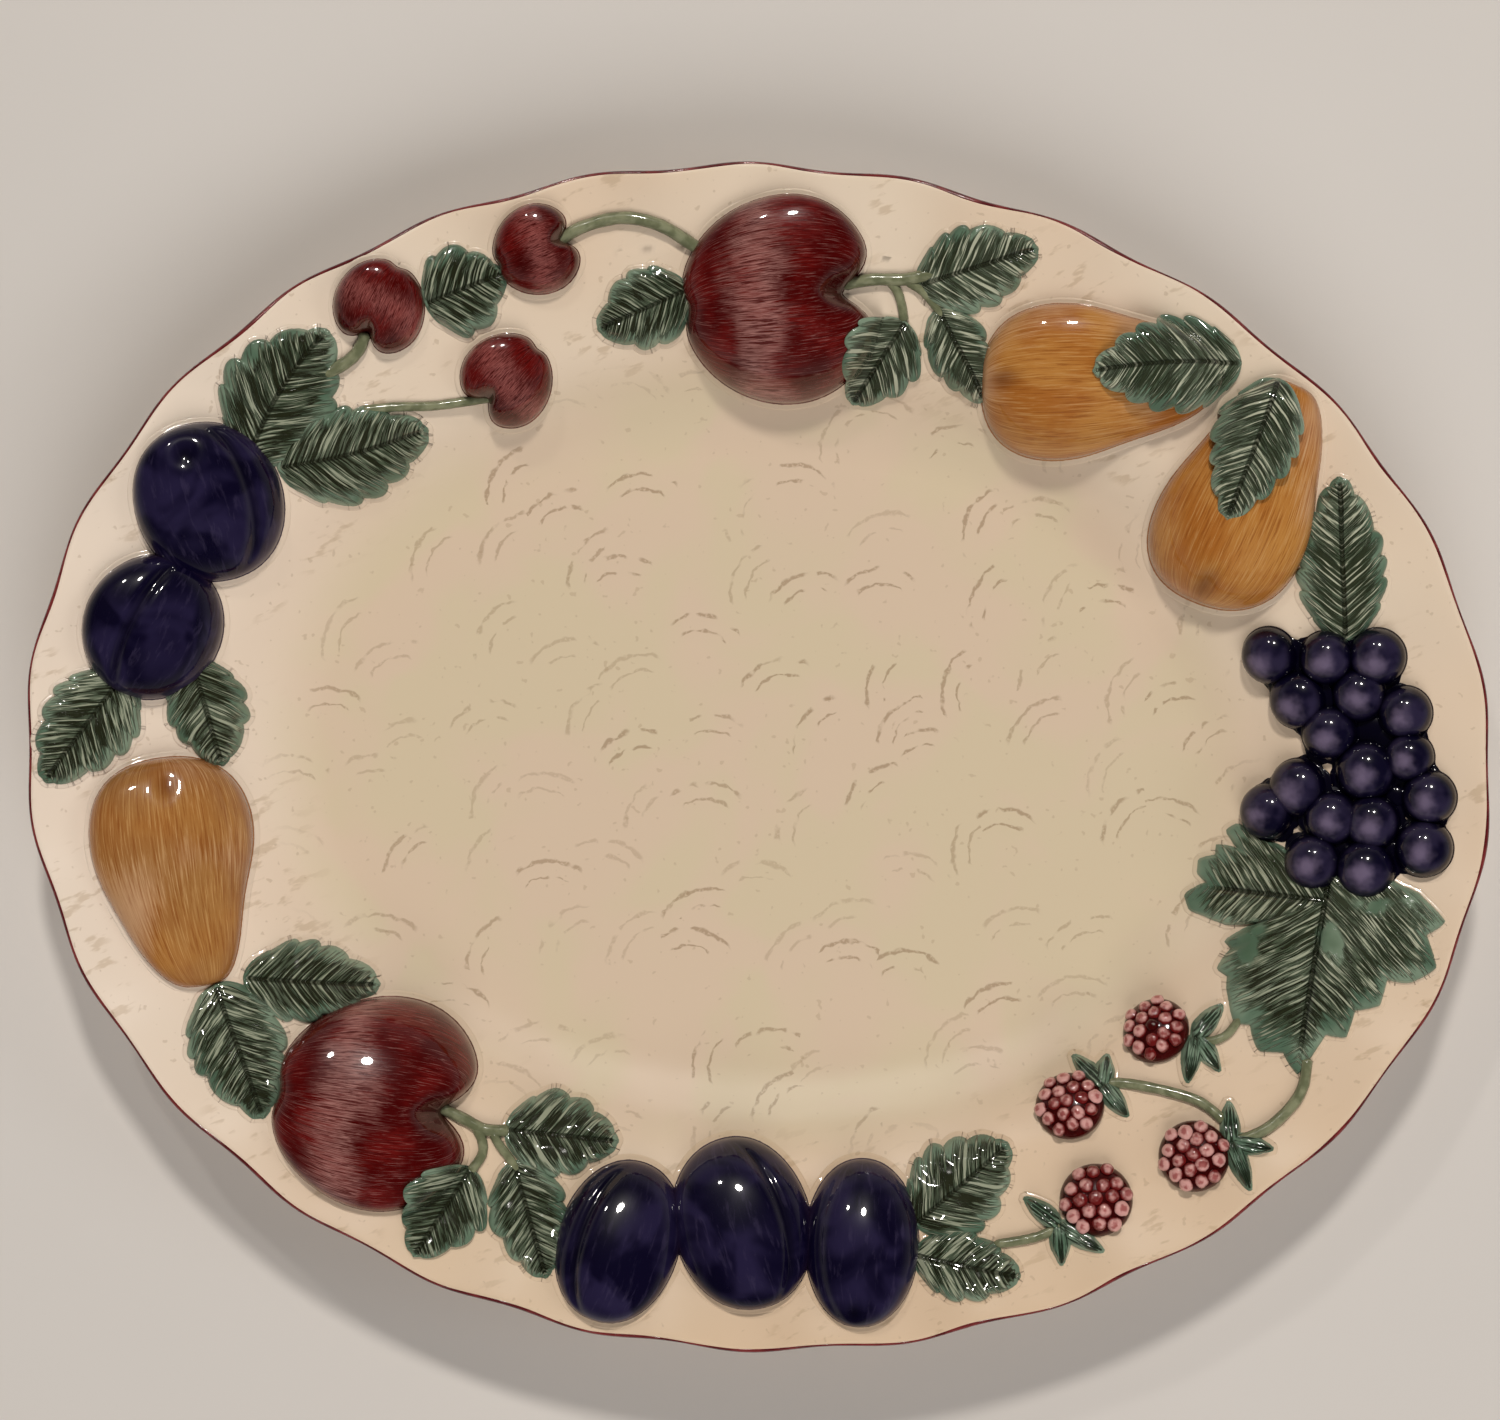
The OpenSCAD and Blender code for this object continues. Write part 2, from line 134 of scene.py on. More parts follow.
class Glaze:
    """One glazed finish, built up coat by coat out of shader nodes."""

    def __init__(self, name, roughness=0.12, coat=0.5, specular=0.5):
        self.material = bpy.data.materials.new(name)
        self.material.use_nodes = True
        self.tree = self.material.node_tree
        self.shader = self.tree.nodes["Principled BSDF"]
        self.shader.inputs["Roughness"].default_value = roughness
        self.shader.inputs["Coat Weight"].default_value = coat
        self.shader.inputs["Coat Roughness"].default_value = 0.04
        self.shader.inputs["Specular IOR Level"].default_value = specular
        pattern = self.add("ShaderNodeTexCoord")
        self.place, self.facing = pattern.outputs["Object"], pattern.outputs["Normal"]

    def add(self, kind, **settings):
        node = self.tree.nodes.new(kind)
        for key, value in settings.items():
            setattr(node, key, value)
        return node

    def feed(self, socket, value):
        if isinstance(value, bpy.types.NodeSocket):
            self.tree.links.new(value, socket)
        else:
            socket.default_value = value

    def calc(self, operation, a, b=0.0, c=0.0):
        node = self.add("ShaderNodeMath", operation=operation)
        for socket, value in zip(node.inputs, (a, b, c)):
            self.feed(socket, value)
        return node.outputs[0]

    def times(self, a, b):
        return self.calc("MULTIPLY", a, b)

    def vector(self, operation, a, b=(0, 0, 0)):
        node = self.add("ShaderNodeVectorMath", operation=operation)
        self.feed(node.inputs[0], a)
        if operation == "SCALE":
            self.feed(node.inputs["Scale"], b)
        else:
            self.feed(node.inputs[1], b)
        return node.outputs["Value" if operation in ("LENGTH", "DISTANCE") else "Vector"]

    def mix(self, amount, under, over):
        node = self.add("ShaderNodeMix", data_type="RGBA")
        self.feed(node.inputs["Factor"], amount)
        self.feed(node.inputs["A"], under)
        self.feed(node.inputs["B"], over)
        return node.outputs["Result"]

    def between(self, value, low, high, start=0.0, end=1.0):
        """Smooth step of a value from one end of a range to the other."""
        node = self.add("ShaderNodeMapRange", interpolation_type="SMOOTHSTEP")
        for socket, v in zip(node.inputs, (value, low, high, start, end)):
            self.feed(socket, v)
        return node.outputs["Result"]

    def noise(self, scale, detail=2.0, place=None, distortion=0.0, roughness=0.5):
        node = self.add("ShaderNodeTexNoise")
        self.feed(node.inputs["Vector"], self.place if place is None else place)
        node.inputs["Scale"].default_value = scale
        node.inputs["Detail"].default_value = detail
        node.inputs["Roughness"].default_value = roughness
        node.inputs["Distortion"].default_value = distortion
        return node.outputs["Fac"]

    def patches(self, scale, detail, low, high, start=0.0, end=1.0):
        """Soft-edged patches: noise, smoothly stepped from one level to another."""
        return self.between(self.noise(scale, detail), low, high, start, end)

    def wobble(self, scale, size):
        """The piece's own coordinates, shaken a little."""
        node = self.add("ShaderNodeTexNoise")
        self.feed(node.inputs["Vector"], self.place)
        node.inputs["Scale"].default_value = scale
        node.inputs["Detail"].default_value = 1.0
        shake = self.vector("SUBTRACT", node.outputs["Color"], (0.5, 0.5, 0.5))
        return self.vector("ADD", self.place, self.vector("SCALE", shake, size))

    def parts(self, vector):
        node = self.add("ShaderNodeSeparateXYZ")
        self.feed(node.inputs[0], vector)
        return node.outputs[0], node.outputs[1], node.outputs[2]

    def joined(self, x, y, z=0.0):
        node = self.add("ShaderNodeCombineXYZ")
        for socket, value in zip(node.inputs, (x, y, z)):
            self.feed(socket, value)
        return node.outputs[0]

    def kept(self, name):
        """A pattern coordinate kept on the piece's own vertices."""
        node = self.add("ShaderNodeAttribute", attribute_name=name)
        return self.parts(node.outputs["Vector"])

    def colour(self, value):
        self.feed(self.shader.inputs["Base Color"], value)

    def wash(self, amount, colour):
        """Brushes one more colour over the body colour."""
        self.body = self.mix(amount, self.body, colour)

    def bump(self, height, distance, strength=1.0):
        node = self.add("ShaderNodeBump")
        node.inputs["Strength"].default_value = strength
        node.inputs["Distance"].default_value = distance
        self.feed(node.inputs["Height"], height)
        if self.shader.inputs["Normal"].is_linked:
            self.feed(node.inputs["Normal"], self.shader.inputs["Normal"].links[0].from_socket)
        self.feed(self.shader.inputs["Normal"], node.outputs["Normal"])


CREAM_ROUGHNESS = 0.42

# The two arcs of a stamp: (radius, half length, line width), and how far their centre lies below it
ARCS = ((0.0156, 0.0108, 0.00070), (0.0110, 0.0070, 0.00048))
ARC_CENTRE = 0.0130


def brushed_arcs(g):
    """Pairs of broken arcs stamped over the well, each pair turned its own way."""
    stamp = g.add("ShaderNodeTexVoronoi", voronoi_dimensions="2D")
    stamp.inputs["Scale"].default_value = 44
    stamp.inputs["Randomness"].default_value = 0.75
    place = g.wobble(330, 0.0020)
    g.feed(stamp.inputs["Vector"], place)
    pick, swing, weight = g.parts(stamp.outputs["Color"])
    loose = g.calc("MULTIPLY_ADD", swing, 0.7, -0.35)
    turn = g.calc("ADD", g.between(pick, 0.54, 0.56, -0.15, -1.1), loose)
    rotate = g.add("ShaderNodeVectorRotate", rotation_type="Z_AXIS")
    g.feed(rotate.inputs["Vector"], g.vector("SUBTRACT", place, stamp.outputs["Position"]))
    g.feed(rotate.inputs["Angle"], turn)
    x, y, _ = g.parts(rotate.outputs["Vector"])
    reach = g.vector("LENGTH", g.joined(x, g.calc("ADD", y, ARC_CENTRE)))
    side = g.calc("ABSOLUTE", x)
    thick = g.patches(240, 1.0, 0.3, 0.7, 0.6, 1.5)
    arcs = 0.0
    for radius, half_length, width in ARCS:
        off = g.calc("DIVIDE", g.calc("ABSOLUTE", g.calc("SUBTRACT", reach, radius)), thick)
        ends = g.between(side, half_length, half_length * 0.85)
        arcs = g.calc("MAXIMUM", arcs, g.times(g.between(off, width, width * 0.35), ends))
    above = g.between(y, -0.009, -0.007)
    dashes = g.between(g.noise(175, 1.0, roughness=0.4), 0.40, 0.49)
    grain = g.patches(1100, 2.0, 0.3, 0.5, 0.35, 1.0)
    pale = g.between(weight, 0.0, 0.8, 0.45, 1.0)
    return g.times(g.times(arcs, above), g.times(dashes, g.times(grain, pale)))


def rim_smudges(g):
    """Patches of short dry-brush strokes, thinly scattered over the rim."""
    rotate = g.add("ShaderNodeVectorRotate", rotation_type="Z_AXIS")
    g.feed(rotate.inputs["Vector"], g.place)
    rotate.inputs["Angle"].default_value = 1.1
    along = g.vector("MULTIPLY", rotate.outputs["Vector"], (3.2, 1, 1))
    strokes = g.between(g.noise(90, 3.0, along, roughness=0.6), 0.56, 0.66)
    patches = g.patches(34, 1.0, 0.50, 0.60)
    return g.times(strokes, patches)


def cream(g):
    """The platter's glaze: mottled cream, with its front stamped and smudged, and its rim painted
    browner towards the bottom as painted shade and paler towards the left as a painted sheen.
    """
    x, y, _ = g.parts(g.place)
    across, along = g.calc("DIVIDE", x, LIP_HALF_LENGTH), g.calc("DIVIDE", y, LIP_HALF_WIDTH)
    well = g.between(g.vector("LENGTH", g.joined(across, along)), 0.72, 0.60)
    mottle = g.between(g.noise(26, 2.0, distortion=0.6), 0.4, 0.6)
    base = g.mix(mottle, paint(218, 195, 170), paint(215, 197, 167))
    rim = g.mix(g.patches(14, 1.0, 0.35, 0.65), paint(230, 211, 188), paint(226, 202, 176))
    # Painted shade: the rim is painted darker and browner towards the bottom.
    rim = g.mix(g.between(along, -0.1, -0.9, 0.0, 0.5), rim, paint(212, 180, 144))
    # Painted sheen: the rim is painted paler towards the left.
    rim = g.mix(g.between(across, -0.3, -1.0, 0.0, 0.7), rim, paint(240, 224, 208))
    base = g.mix(well, rim, base)
    specks = g.patches(420, 1.0, 0.70, 0.76, 0.0, 0.35)
    base = g.mix(specks, base, paint(176, 150, 120))
    _, _, up = g.parts(g.facing)
    front = g.between(up, -0.1, 0.2)
    stamped = g.times(g.times(brushed_arcs(g), well), g.times(front, 0.62))
    base = g.mix(stamped, base, paint(150, 122, 92))
    off_well = g.times(g.calc("SUBTRACT", 1.0, well), g.times(front, 0.38))
    return g.mix(g.times(rim_smudges(g), off_well), base, paint(176, 148, 112))


def over_cream(g, coat):
    """Lays a sprig's body colour over the platter's cream, as far as the sprig reaches."""
    soft = g.calc("ADD", coat, g.calc("MULTIPLY_ADD", g.noise(900, 2.0), 0.3, -0.15))
    g.colour(g.mix(g.between(soft, 0.58, 0.78), cream(g), g.body))
    gloss = g.between(coat, 0.0, 0.4)
    roughness, weight = g.shader.inputs["Roughness"], g.shader.inputs["Coat Weight"]
    g.feed(roughness, g.between(gloss, 0.0, 1.0, CREAM_ROUGHNESS, roughness.default_value))
    g.feed(weight, g.between(gloss, 0.0, 1.0, 0.0, weight.default_value))


def cream_glaze():
    g = Glaze("cream_glaze", roughness=CREAM_ROUGHNESS, coat=0.0, specular=0.3)
    g.colour(cream(g))
    g.bump(g.noise(55, 2.0), 0.0006, 0.5)
    return g.material


def maroon_line():
    g = Glaze("maroon_line", roughness=0.2, coat=0.3)
    g.colour(g.mix(g.patches(160, 3.0, 0.4, 0.65), paint(86, 16, 22), paint(122, 42, 42)))
    g.bump(g.noise(300, 2.0), 0.0002, 0.4)
    return g.material


def foot_finish():
    """Glazed on its sides and ground bare where it stands."""
    g = Glaze("bare_foot", roughness=0.45, coat=0.0)
    _, _, height = g.parts(g.place)
    ragged = g.calc("MULTIPLY_ADD", g.noise(120, 2.0), 0.0008, -0.0004)
    bare = g.between(g.calc("ADD", height, ragged), 0.0009, 0.0005)
    clay = g.mix(g.noise(700, 4.0), paint(214, 200, 178), paint(190, 172, 148))
    g.colour(g.mix(bare, cream(g), clay))
    g.bump(g.noise(1500, 3.0), 0.0001, 0.6)
    return g.material


def brush_strokes(g, along, round_, fineness=1.0, length=1.0):
    """Fine streaks that run along a fruit from stalk to flower end."""
    place = g.joined(g.times(along, 1.0 / length), g.times(round_, 15 * fineness))
    return g.noise(2.6, 4.0, place, distortion=0.4, roughness=0.64)


def apple_like(name, dark, mid, pale, middle, spread, strength, fineness):
    """A streaked red glaze with a paler blush round the middle given."""
    g = Glaze(name, roughness=0.25, coat=0.95, specular=0.1)
    along, round_, _ = g.kept("grain")
    coat, height, hollow_shade = g.kept("cover")
    streak = brush_strokes(g, along, round_, fineness)
    fine = brush_strokes(g, along, round_, fineness * 2.2, 0.6)
    drift = g.calc("MULTIPLY_ADD", g.noise(38, 2.0, distortion=0.5), 1.3, -0.65)
    off = g.calc("ABSOLUTE", g.calc("ADD", g.calc("SUBTRACT", along, middle), g.times(drift, 0.7)))
    off = g.calc("ADD", off, g.calc("MULTIPLY_ADD", streak, 1.3, -0.65))
    band = g.between(off, spread, spread * 0.2)
    blush = g.times(band, g.between(fine, 0.36, 0.60, 0.35, 1.0))
    g.body = g.mix(g.patches(70, 3.0, 0.36, 0.64), dark, mid)
    g.wash(g.times(g.between(fine, 0.52, 0.68), 0.3), pale)
    g.wash(g.times(blush, strength), pale)
    g.wash(g.between(streak, 0.50, 0.40, 0.0, 0.85), dark)
    # Darker towards the fruit's foot: glaze pooled there, and painted shade.
    g.wash(g.between(height, 0.25, 0.03, 0.0, 0.35), dark)
    # Painted shade in the stalk cavity.
    g.wash(g.times(hollow_shade, 0.8), paint(40, 3, 5))
    over_cream(g, coat)
    g.bump(streak, 0.0003, 0.25)
    return g.material


def pear_glaze():
    g = Glaze("pear_glaze", roughness=0.25, coat=0.95, specular=0.1)
    along, round_, _ = g.kept("grain")
    coat, height, hollow_shade = g.kept("cover")
    streak = brush_strokes(g, along, round_, 0.9)
    broad = g.noise(50, 3.0, distortion=0.5)
    g.body = g.mix(g.between(broad, 0.34, 0.66), paint(170, 104, 42), paint(188, 130, 64))
    x, _, _ = g.parts(g.place)
    russet = g.times(g.between(x, 0.0, -0.1), g.patches(40, 2.0, 0.3, 0.7, 0.25, 0.7))
    g.wash(russet, paint(150, 106, 62))
    g.wash(g.between(streak, 0.48, 0.36, 0.0, 0.6), paint(132, 70, 26))
    g.wash(g.between(streak, 0.52, 0.64, 0.0, 0.45), paint(206, 160, 102))
    blush = g.between(g.calc("ADD", g.noise(22, 2.0), g.times(streak, 0.35)), 0.66, 0.86)
    g.wash(g.times(blush, 0.6), paint(206, 166, 130))
    # Browner towards the fruit's foot: glaze pooled there, and painted shade.
    g.wash(g.between(height, 0.45, 0.05, 0.0, 0.6), paint(132, 70, 30))
    # Painted shade in the dents at the flower end.
    g.wash(g.times(hollow_shade, 0.75), paint(112, 60, 24))
    over_cream(g, coat)
    g.bump(streak, 0.0003, 0.2)
    return g.material


def plum_glaze():
    g = Glaze("plum_glaze", roughness=0.3, coat=0.85, specular=0.06)
    along, round_, _ = g.kept("grain")
    coat, height, hollow_shade = g.kept("cover")
    broad = g.noise(65, 2.0, distortion=0.8)
    streak = brush_strokes(g, along, round_, 0.22)
    g.body = g.mix(g.between(broad, 0.38, 0.66), paint(10, 6, 32), paint(36, 30, 60))
    g.wash(g.between(streak, 0.52, 0.70, 0.0, 0.3), paint(68, 60, 88))
    g.wash(g.patches(28, 1.0, 0.5, 0.3, 0.0, 0.6), paint(6, 3, 24))
    g.wash(g.between(height, 0.5, 0.08, 0.0, 0.5), paint(52, 34, 62))
    # Painted shade in the seams and dents.
    g.wash(g.times(hollow_shade, 0.85), paint(4, 2, 16))
    over_cream(g, coat)
    return g.material


def grape_glaze():
    g = Glaze("grape_glaze", roughness=0.3, coat=0.75, specular=0.06)
    across, up, _ = g.kept("grain")
    coat, height, _ = g.kept("cover")
    patch = g.vector("LENGTH", g.joined(g.calc("ADD", across, 0.10), g.calc("ADD", up, 0.20)))
    patch = g.calc("ADD", patch, g.calc("MULTIPLY_ADD", g.noise(240, 2.0), 0.6, -0.3))
    g.body = g.mix(g.patches(150, 2.0, 0.35, 0.65), paint(12, 9, 32), paint(42, 36, 60))
    g.wash(g.between(patch, 0.60, 0.0, 0.0, 0.75), paint(122, 108, 134))
    # The lower sides and foot of each grape, and the pools between the grapes, go near-black:
    # pooled glaze, and painted shade.
    g.wash(g.between(height, 0.72, 0.35), paint(4, 2, 18))
    over_cream(g, coat)
    return g.material


def leaf_glaze():
    """Sea-green ridges with a dark wash left in the cut veins, and painted highlights on the
    ridges, strongest towards the upper right of the platter.
    """
    g = Glaze("leaf_glaze", roughness=0.18, coat=0.9, specular=0.25)
    along, out, leaf_number = g.kept("grain")
    coat, depth, smooth = g.kept("cover")
    run = g.calc("SUBTRACT", along, g.times(out, 0.8))
    sweep = g.calc("MULTIPLY_ADD", g.noise(70, 1.0), 2.4, -1.2)
    place = g.joined(g.times(g.calc("ADD", run, sweep), 1.3), g.times(out, 0.1),
                     g.times(leaf_number, 3.7))
    veins = g.noise(1.0, 2.0, place, roughness=0.6, distortion=0.3)
    ragged = g.calc("ADD", depth, g.calc("MULTIPLY_ADD", veins, 1.1, -0.55))
    patch = g.times(smooth, g.patches(110, 3.0, 0.35, 0.65, 0.3, 1.4))
    inner = g.times(g.between(ragged, 0.10, 0.28), g.between(patch, 0.65, 0.2))
    cuts = g.times(g.between(veins, 0.51, 0.44), inner)
    ridges = g.times(g.between(veins, 0.54, 0.64), inner)
    rib = g.times(g.between(out, 0.85, 0.35), g.between(patch, 0.9, 0.5))
    rib = g.times(rib, g.between(depth, 0.1, 0.5))
    g.body = g.mix(g.patches(80, 2.0, 0.35, 0.65), paint(84, 108, 88), paint(130, 148, 126))
    g.wash(g.times(patch, 0.4), paint(76, 96, 72))
    g.wash(g.times(inner, 0.55), paint(80, 84, 58))
    x, y, _ = g.parts(g.place)
    # Painted highlights: the ridges are painted pale, most strongly towards the upper right of the
    # platter, and the cut veins there are painted less dark.
    painted_highlight_side = g.between(g.calc("ADD", x, y), 0.08, 0.17, 0.6, 1.0)
    g.wash(g.times(ridges, painted_highlight_side), paint(184, 186, 162))
    g.wash(g.times(cuts, g.between(painted_highlight_side, 0.6, 1.0, 0.92, 0.74)), paint(28, 28, 10))
    g.wash(g.times(rib, 0.7), paint(28, 30, 14))
    over_cream(g, coat)
    relief = g.times(g.between(veins, 0.40, 0.60), inner)
    g.bump(g.calc("SUBTRACT", relief, rib), 0.0009, 1.0)
    g.bump(g.noise(120, 2.0), 0.0005, 0.35)
    return g.material


def sepal_glaze():
    g = Glaze("sepal_glaze", roughness=0.18, coat=0.8, specular=0.25)
    along, out, leaf_number = g.kept("grain")
    coat, depth, _ = g.kept("cover")
    place = g.joined(g.times(along, 0.12), g.times(out, 1.5), leaf_number)
    stripe = g.noise(1.0, 2.0, place)
    cuts = g.times(g.between(stripe, 0.53, 0.45), g.between(depth, 0.05, 0.3))
    g.body = g.mix(g.patches(160, 2.0, 0.35, 0.65), paint(86, 110, 90), paint(128, 148, 126))
    g.wash(g.times(cuts, 0.9), paint(24, 30, 16))
    over_cream(g, coat)
    g.bump(g.calc("SUBTRACT", 1.0, cuts), 0.0005, 0.8)
    return g.material


def twig_glaze():
    g = Glaze("twig_glaze", roughness=0.2, coat=0.5, specular=0.3)
    along, _, height = g.kept("grain")
    coat, _, _ = g.kept("cover")
    streak = g.noise(260, 3.0, g.vector("MULTIPLY", g.place, (1, 1, 3)))
    g.body = g.mix(g.between(streak, 0.35, 0.65), paint(104, 108, 80), paint(136, 138, 108))
    # Painted shade: the sides and underside of each twig are painted darker, leaving its top
    # lighter.
    g.wash(g.between(height, 0.6, 0.1, 0.0, 0.75), paint(60, 66, 46))
    over_cream(g, coat)
    g.bump(streak, 0.0003, 0.4)
    return g.material


def raspberry_glaze():
    g = Glaze("raspberry_glaze", roughness=0.2, coat=0.85, specular=0.1)
    bead, height, ring = g.kept("grain")
    coat, _, _ = g.kept("cover")
    mottle = g.calc("MULTIPLY_ADD", g.noise(480, 2.0), 1.1, -0.55)
    ripe = g.between(g.calc("ADD", g.calc("ADD", height, mottle), bead), 0.9, 1.6)
    centre = g.between(g.calc("ADD", ring, g.times(mottle, 1.6)), 0.55, 0.1, 0.0, 0.8)
    skin = g.mix(centre, paint(212, 158, 151), paint(150, 68, 66))
    g.body = g.mix(ripe, paint(104, 22, 22), skin)
    g.wash(g.between(height, 0.22, 0.0), paint(70, 4, 6))
    core = g.mix(g.noise(300, 2.0), paint(40, 1, 1), paint(74, 8, 8))
    g.body = g.mix(g.between(bead, 0.05, 0.15), core, g.body)
    over_cream(g, coat)
    return g.material


# ---------------------------------------------------------------- modelling helpers


def open_edges(bm):
    return [e for e in bm.edges if e.is_boundary]


def stepped(bm, edges, place):
    """Extrudes an open edge and puts each new vertex where place says, given the old vertex."""
    made = bmesh.ops.extrude_edge_only(bm, edges=edges)["geom"]
    verts = {v for v in made if isinstance(v, bmesh.types.BMVert)}
    for v in verts:
        old = next(e.other_vert(v) for e in v.link_edges if e.other_vert(v) not in verts)
        v.co = place(v, old)
    return [e for e in made if isinstance(e, bmesh.types.BMEdge) and e.is_boundary]


def outward(bm):
    """Plan direction away from a piece at each vertex of its open edge."""
    ways = {}
    for edge in open_edges(bm):
        loop = edge.link_loops[0]
        run = loop.link_loop_next.vert.co - loop.vert.co
        out = Vector((run.y, -run.x, 0))
        if out.length > 1e-9:
            out.normalize()
            for v in edge.verts:
                ways[v] = ways.get(v, Vector()) + out
    return {v: w.normalized() for v, w in ways.items()}


def glaze_down(bm, cover, steps):
    """Runs a sprig's edge down onto the rim in a small fillet of cream glaze and closes it."""
    bmesh.ops.remove_doubles(bm, verts=bm.verts, dist=MERGE)
    ways = outward(bm)
    foot = {v: v.co.copy() for v in ways}
    edges = open_edges(bm)
    for out, lift, coat in steps:

        def settle(v, old):
            ways[v] = ways.get(old, Vector())
            foot[v] = foot[old]
            p = foot[v] + ways[v] * out
            v[cover] = Vector((coat, 0, 0))
            return Vector((p.x, p.y, top_z(p) + lift))

        edges = stepped(bm, edges, settle)
    bmesh.ops.holes_fill(bm, edges=edges, sides=0)


# Each step of the fillet round a sprig: (out from its edge, height, share of its own colour)
FRUIT_FILLET = ((0.0001, 0.00045, 1), (0.0003, 0.0003, 0.6), (0.0007, 0.0002, 0.45),
                (0.0012, 0.00008, 0.3), (0.0018, 0.00001, 0.2), (0.0019, -PRESS, 0.2))
LEAF_FILLET = ((0.00015, 0.0007, 1), (0.0003, 0.0004, 0.8), (0.0006, 0.00025, 0.45),
               (0.0011, 0.0001, 0.3), (0.0017, 0.00001, 0.2), (0.0018, -PRESS, 0.2))


def linked(name, data):
    thing = bpy.data.objects.new(name, data)
    bpy.context.scene.collection.objects.link(thing)
    return thing


def meshed(bm, name):
    mesh = bpy.data.meshes.new(name)
    bm.to_mesh(mesh)
    bm.free()
    return mesh


def made(bm, name, material, slot, *nodes):
    """Turns a finished bmesh into a piece that stands for CAD nodes."""
    bmesh.ops.recalc_face_normals(bm, faces=bm.faces)
    mesh = meshed(bm, name)
    mesh.shade_smooth()
    mesh.materials.append(material)
    piece = linked(name, mesh)
    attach(piece, "root")
    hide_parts(*nodes)
    return piece


def patterned(bm):
    return bm.verts.layers.float_vector.new("grain"), bm.verts.layers.float_vector.new("cover")


# ---------------------------------------------------------------- platter, foot and painted line

AROUND, FOOT_AROUND = 780, 320
LIP = 0.002
LINE_THICK = 0.00016
LINE_START, LINE_END = 36, 112


def platter_section():
    """Steps from the well out over the lip and back under: (inset, drop from the top)."""
    steps = [(WELL_INSET - i * 0.002, 0) for i in range(1, 31)]
    steps += [(0.022 - i * 0.0014, 0) for i in range(0, 14)]
    lip_turn = [math.pi * i / 12 for i in range(13)]
    steps += [(LIP * (1 - math.sin(t)), LIP * (1 - math.cos(t))) for t in lip_turn]
    steps += [(LIP + i * 0.0025, 2 * LIP + (WALL - 2 * LIP) * ease(i / 5)) for i in range(1, 32)]
    return steps


def ring_step(inset, drop):
    return lambda v, old: rim_point(math.atan2(old.co.y, old.co.x), inset, drop)


def platter_body():
    bm = bmesh.new()
    bmesh.ops.create_circle(bm, cap_ends=True, radius=0.1, segments=AROUND)
    for v in bm.verts:
        v.co = rim_point(math.atan2(v.co.y, v.co.x), WELL_INSET, 0)
    edges = open_edges(bm)
    for inset, drop in platter_section():
        edges = stepped(bm, edges, ring_step(inset, drop))
    bmesh.ops.holes_fill(bm, edges=edges, sides=0)
    return made(bm, "platter", cream_glaze(), "cream_glaze", "platter_body")


def band(around, at, section):
    """A closed band round the platter, where at places a vertex for a step of the section."""
    bm = bmesh.new()
    bmesh.ops.create_circle(bm, cap_ends=False, radius=0.1, segments=around)
    for v in bm.verts:
        v.co = at(*section[0])(v, v)
    first = edges = list(bm.edges)
    for step in section[1:]:
        edges = stepped(bm, edges, at(*step))
    bmesh.ops.bridge_loops(bm, edges=first + edges)
    return bm


def foot_ring():
    top = FLOOR_HEIGHT - WALL
    outer, inner = FOOT_INSET, FOOT_INSET + FOOT_WIDTH
    section = [(inner, top), (inner, 0.0009), (inner - 0.0004, 0.0003), (inner - 0.001, 0),
               (outer + 0.001, 0), (outer + 0.0004, 0.0003), (outer, 0.0009), (outer, top)]

    def at(inset, z):
        def place(v, old):
            a = math.atan2(old.co.y, old.co.x)
            r = oval(a) - inset
            return Vector((r * math.cos(a), r * math.sin(a), z))
        return place

    return made(band(FOOT_AROUND, at, section), "foot", foot_finish(), "bare_foot", "foot_ring")


def rim_line():
    """A hand-painted line round the lip, a little wider here and there."""
    def at(share, lift):
        def place(v, old):
            a = math.atan2(old.co.y, old.co.x)
            uneven = noise.noise(Vector((math.cos(a), math.sin(a), 0)) * 9)
            start = math.radians(LINE_START - 20 * uneven)
            t = start + (math.radians(LINE_END + 8 * uneven) - start) * share
            return rim_point(a, LIP - (LIP + lift) * math.sin(t), LIP - (LIP + lift) * math.cos(t))
        return place

    section = [(0, -LINE_THICK), (0, LINE_THICK * 0.6)] + [(i / 6, LINE_THICK) for i in range(1, 6)]
    section += [(1, LINE_THICK * 0.6), (1, -LINE_THICK)]
    return made(band(AROUND, at, section), "lip_line", maroon_line(), "maroon_line", "rim_line")


# ---------------------------------------------------------------- fruit

# [angle, inset, turn of the axis towards the stalk, half length, half width, rise]
FRUIT = {
    "apple_top": (91.0, 37.4, 9, 28.3, 28.9, APPLE_RISE),
    "apple_bottom": (225.7, 37.1, 355.5, 29.4, 29.7, APPLE_RISE),
    "pear_left": (194.8, 34.7, 281.5, 33.1, 22.3, PEAR_RISE),
    "pear_upper": (51.6, 35.9, 5, 33.2, 21.8, PEAR_RISE),
    "pear_right": (31.9, 35.9, 71, 33.2, 21.9, PEAR_RISE),
    "plum_left_upper": (158.7, 28.3, 107.6, 22.6, 20.8, PLUM_RISE),
    "plum_left_lower": (171.5, 30.1, 67, 20.9, 18.9, PLUM_RISE),
    "plum_bottom_left": (257.5, 25.8, 75, 22.8, 17.4, PLUM_RISE),
    "plum_bottom_middle": (271.6, 34.8, 111, 24, 19.7, PLUM_RISE),
    "plum_bottom_right": (285.6, 28.7, 91.5, 23.1, 16.3, PLUM_RISE),
    "cherry_upper": (117.3, 17.2, 25.4, 12.3, 12.3, CHERRY_RISE),
    "cherry_left": (133.6, 16.4, 247, 12.8, 12.8, CHERRY_RISE),
    "cherry_lower": (127.2, 49.9, 228.6, 13.0, 12.8, CHERRY_RISE),
}


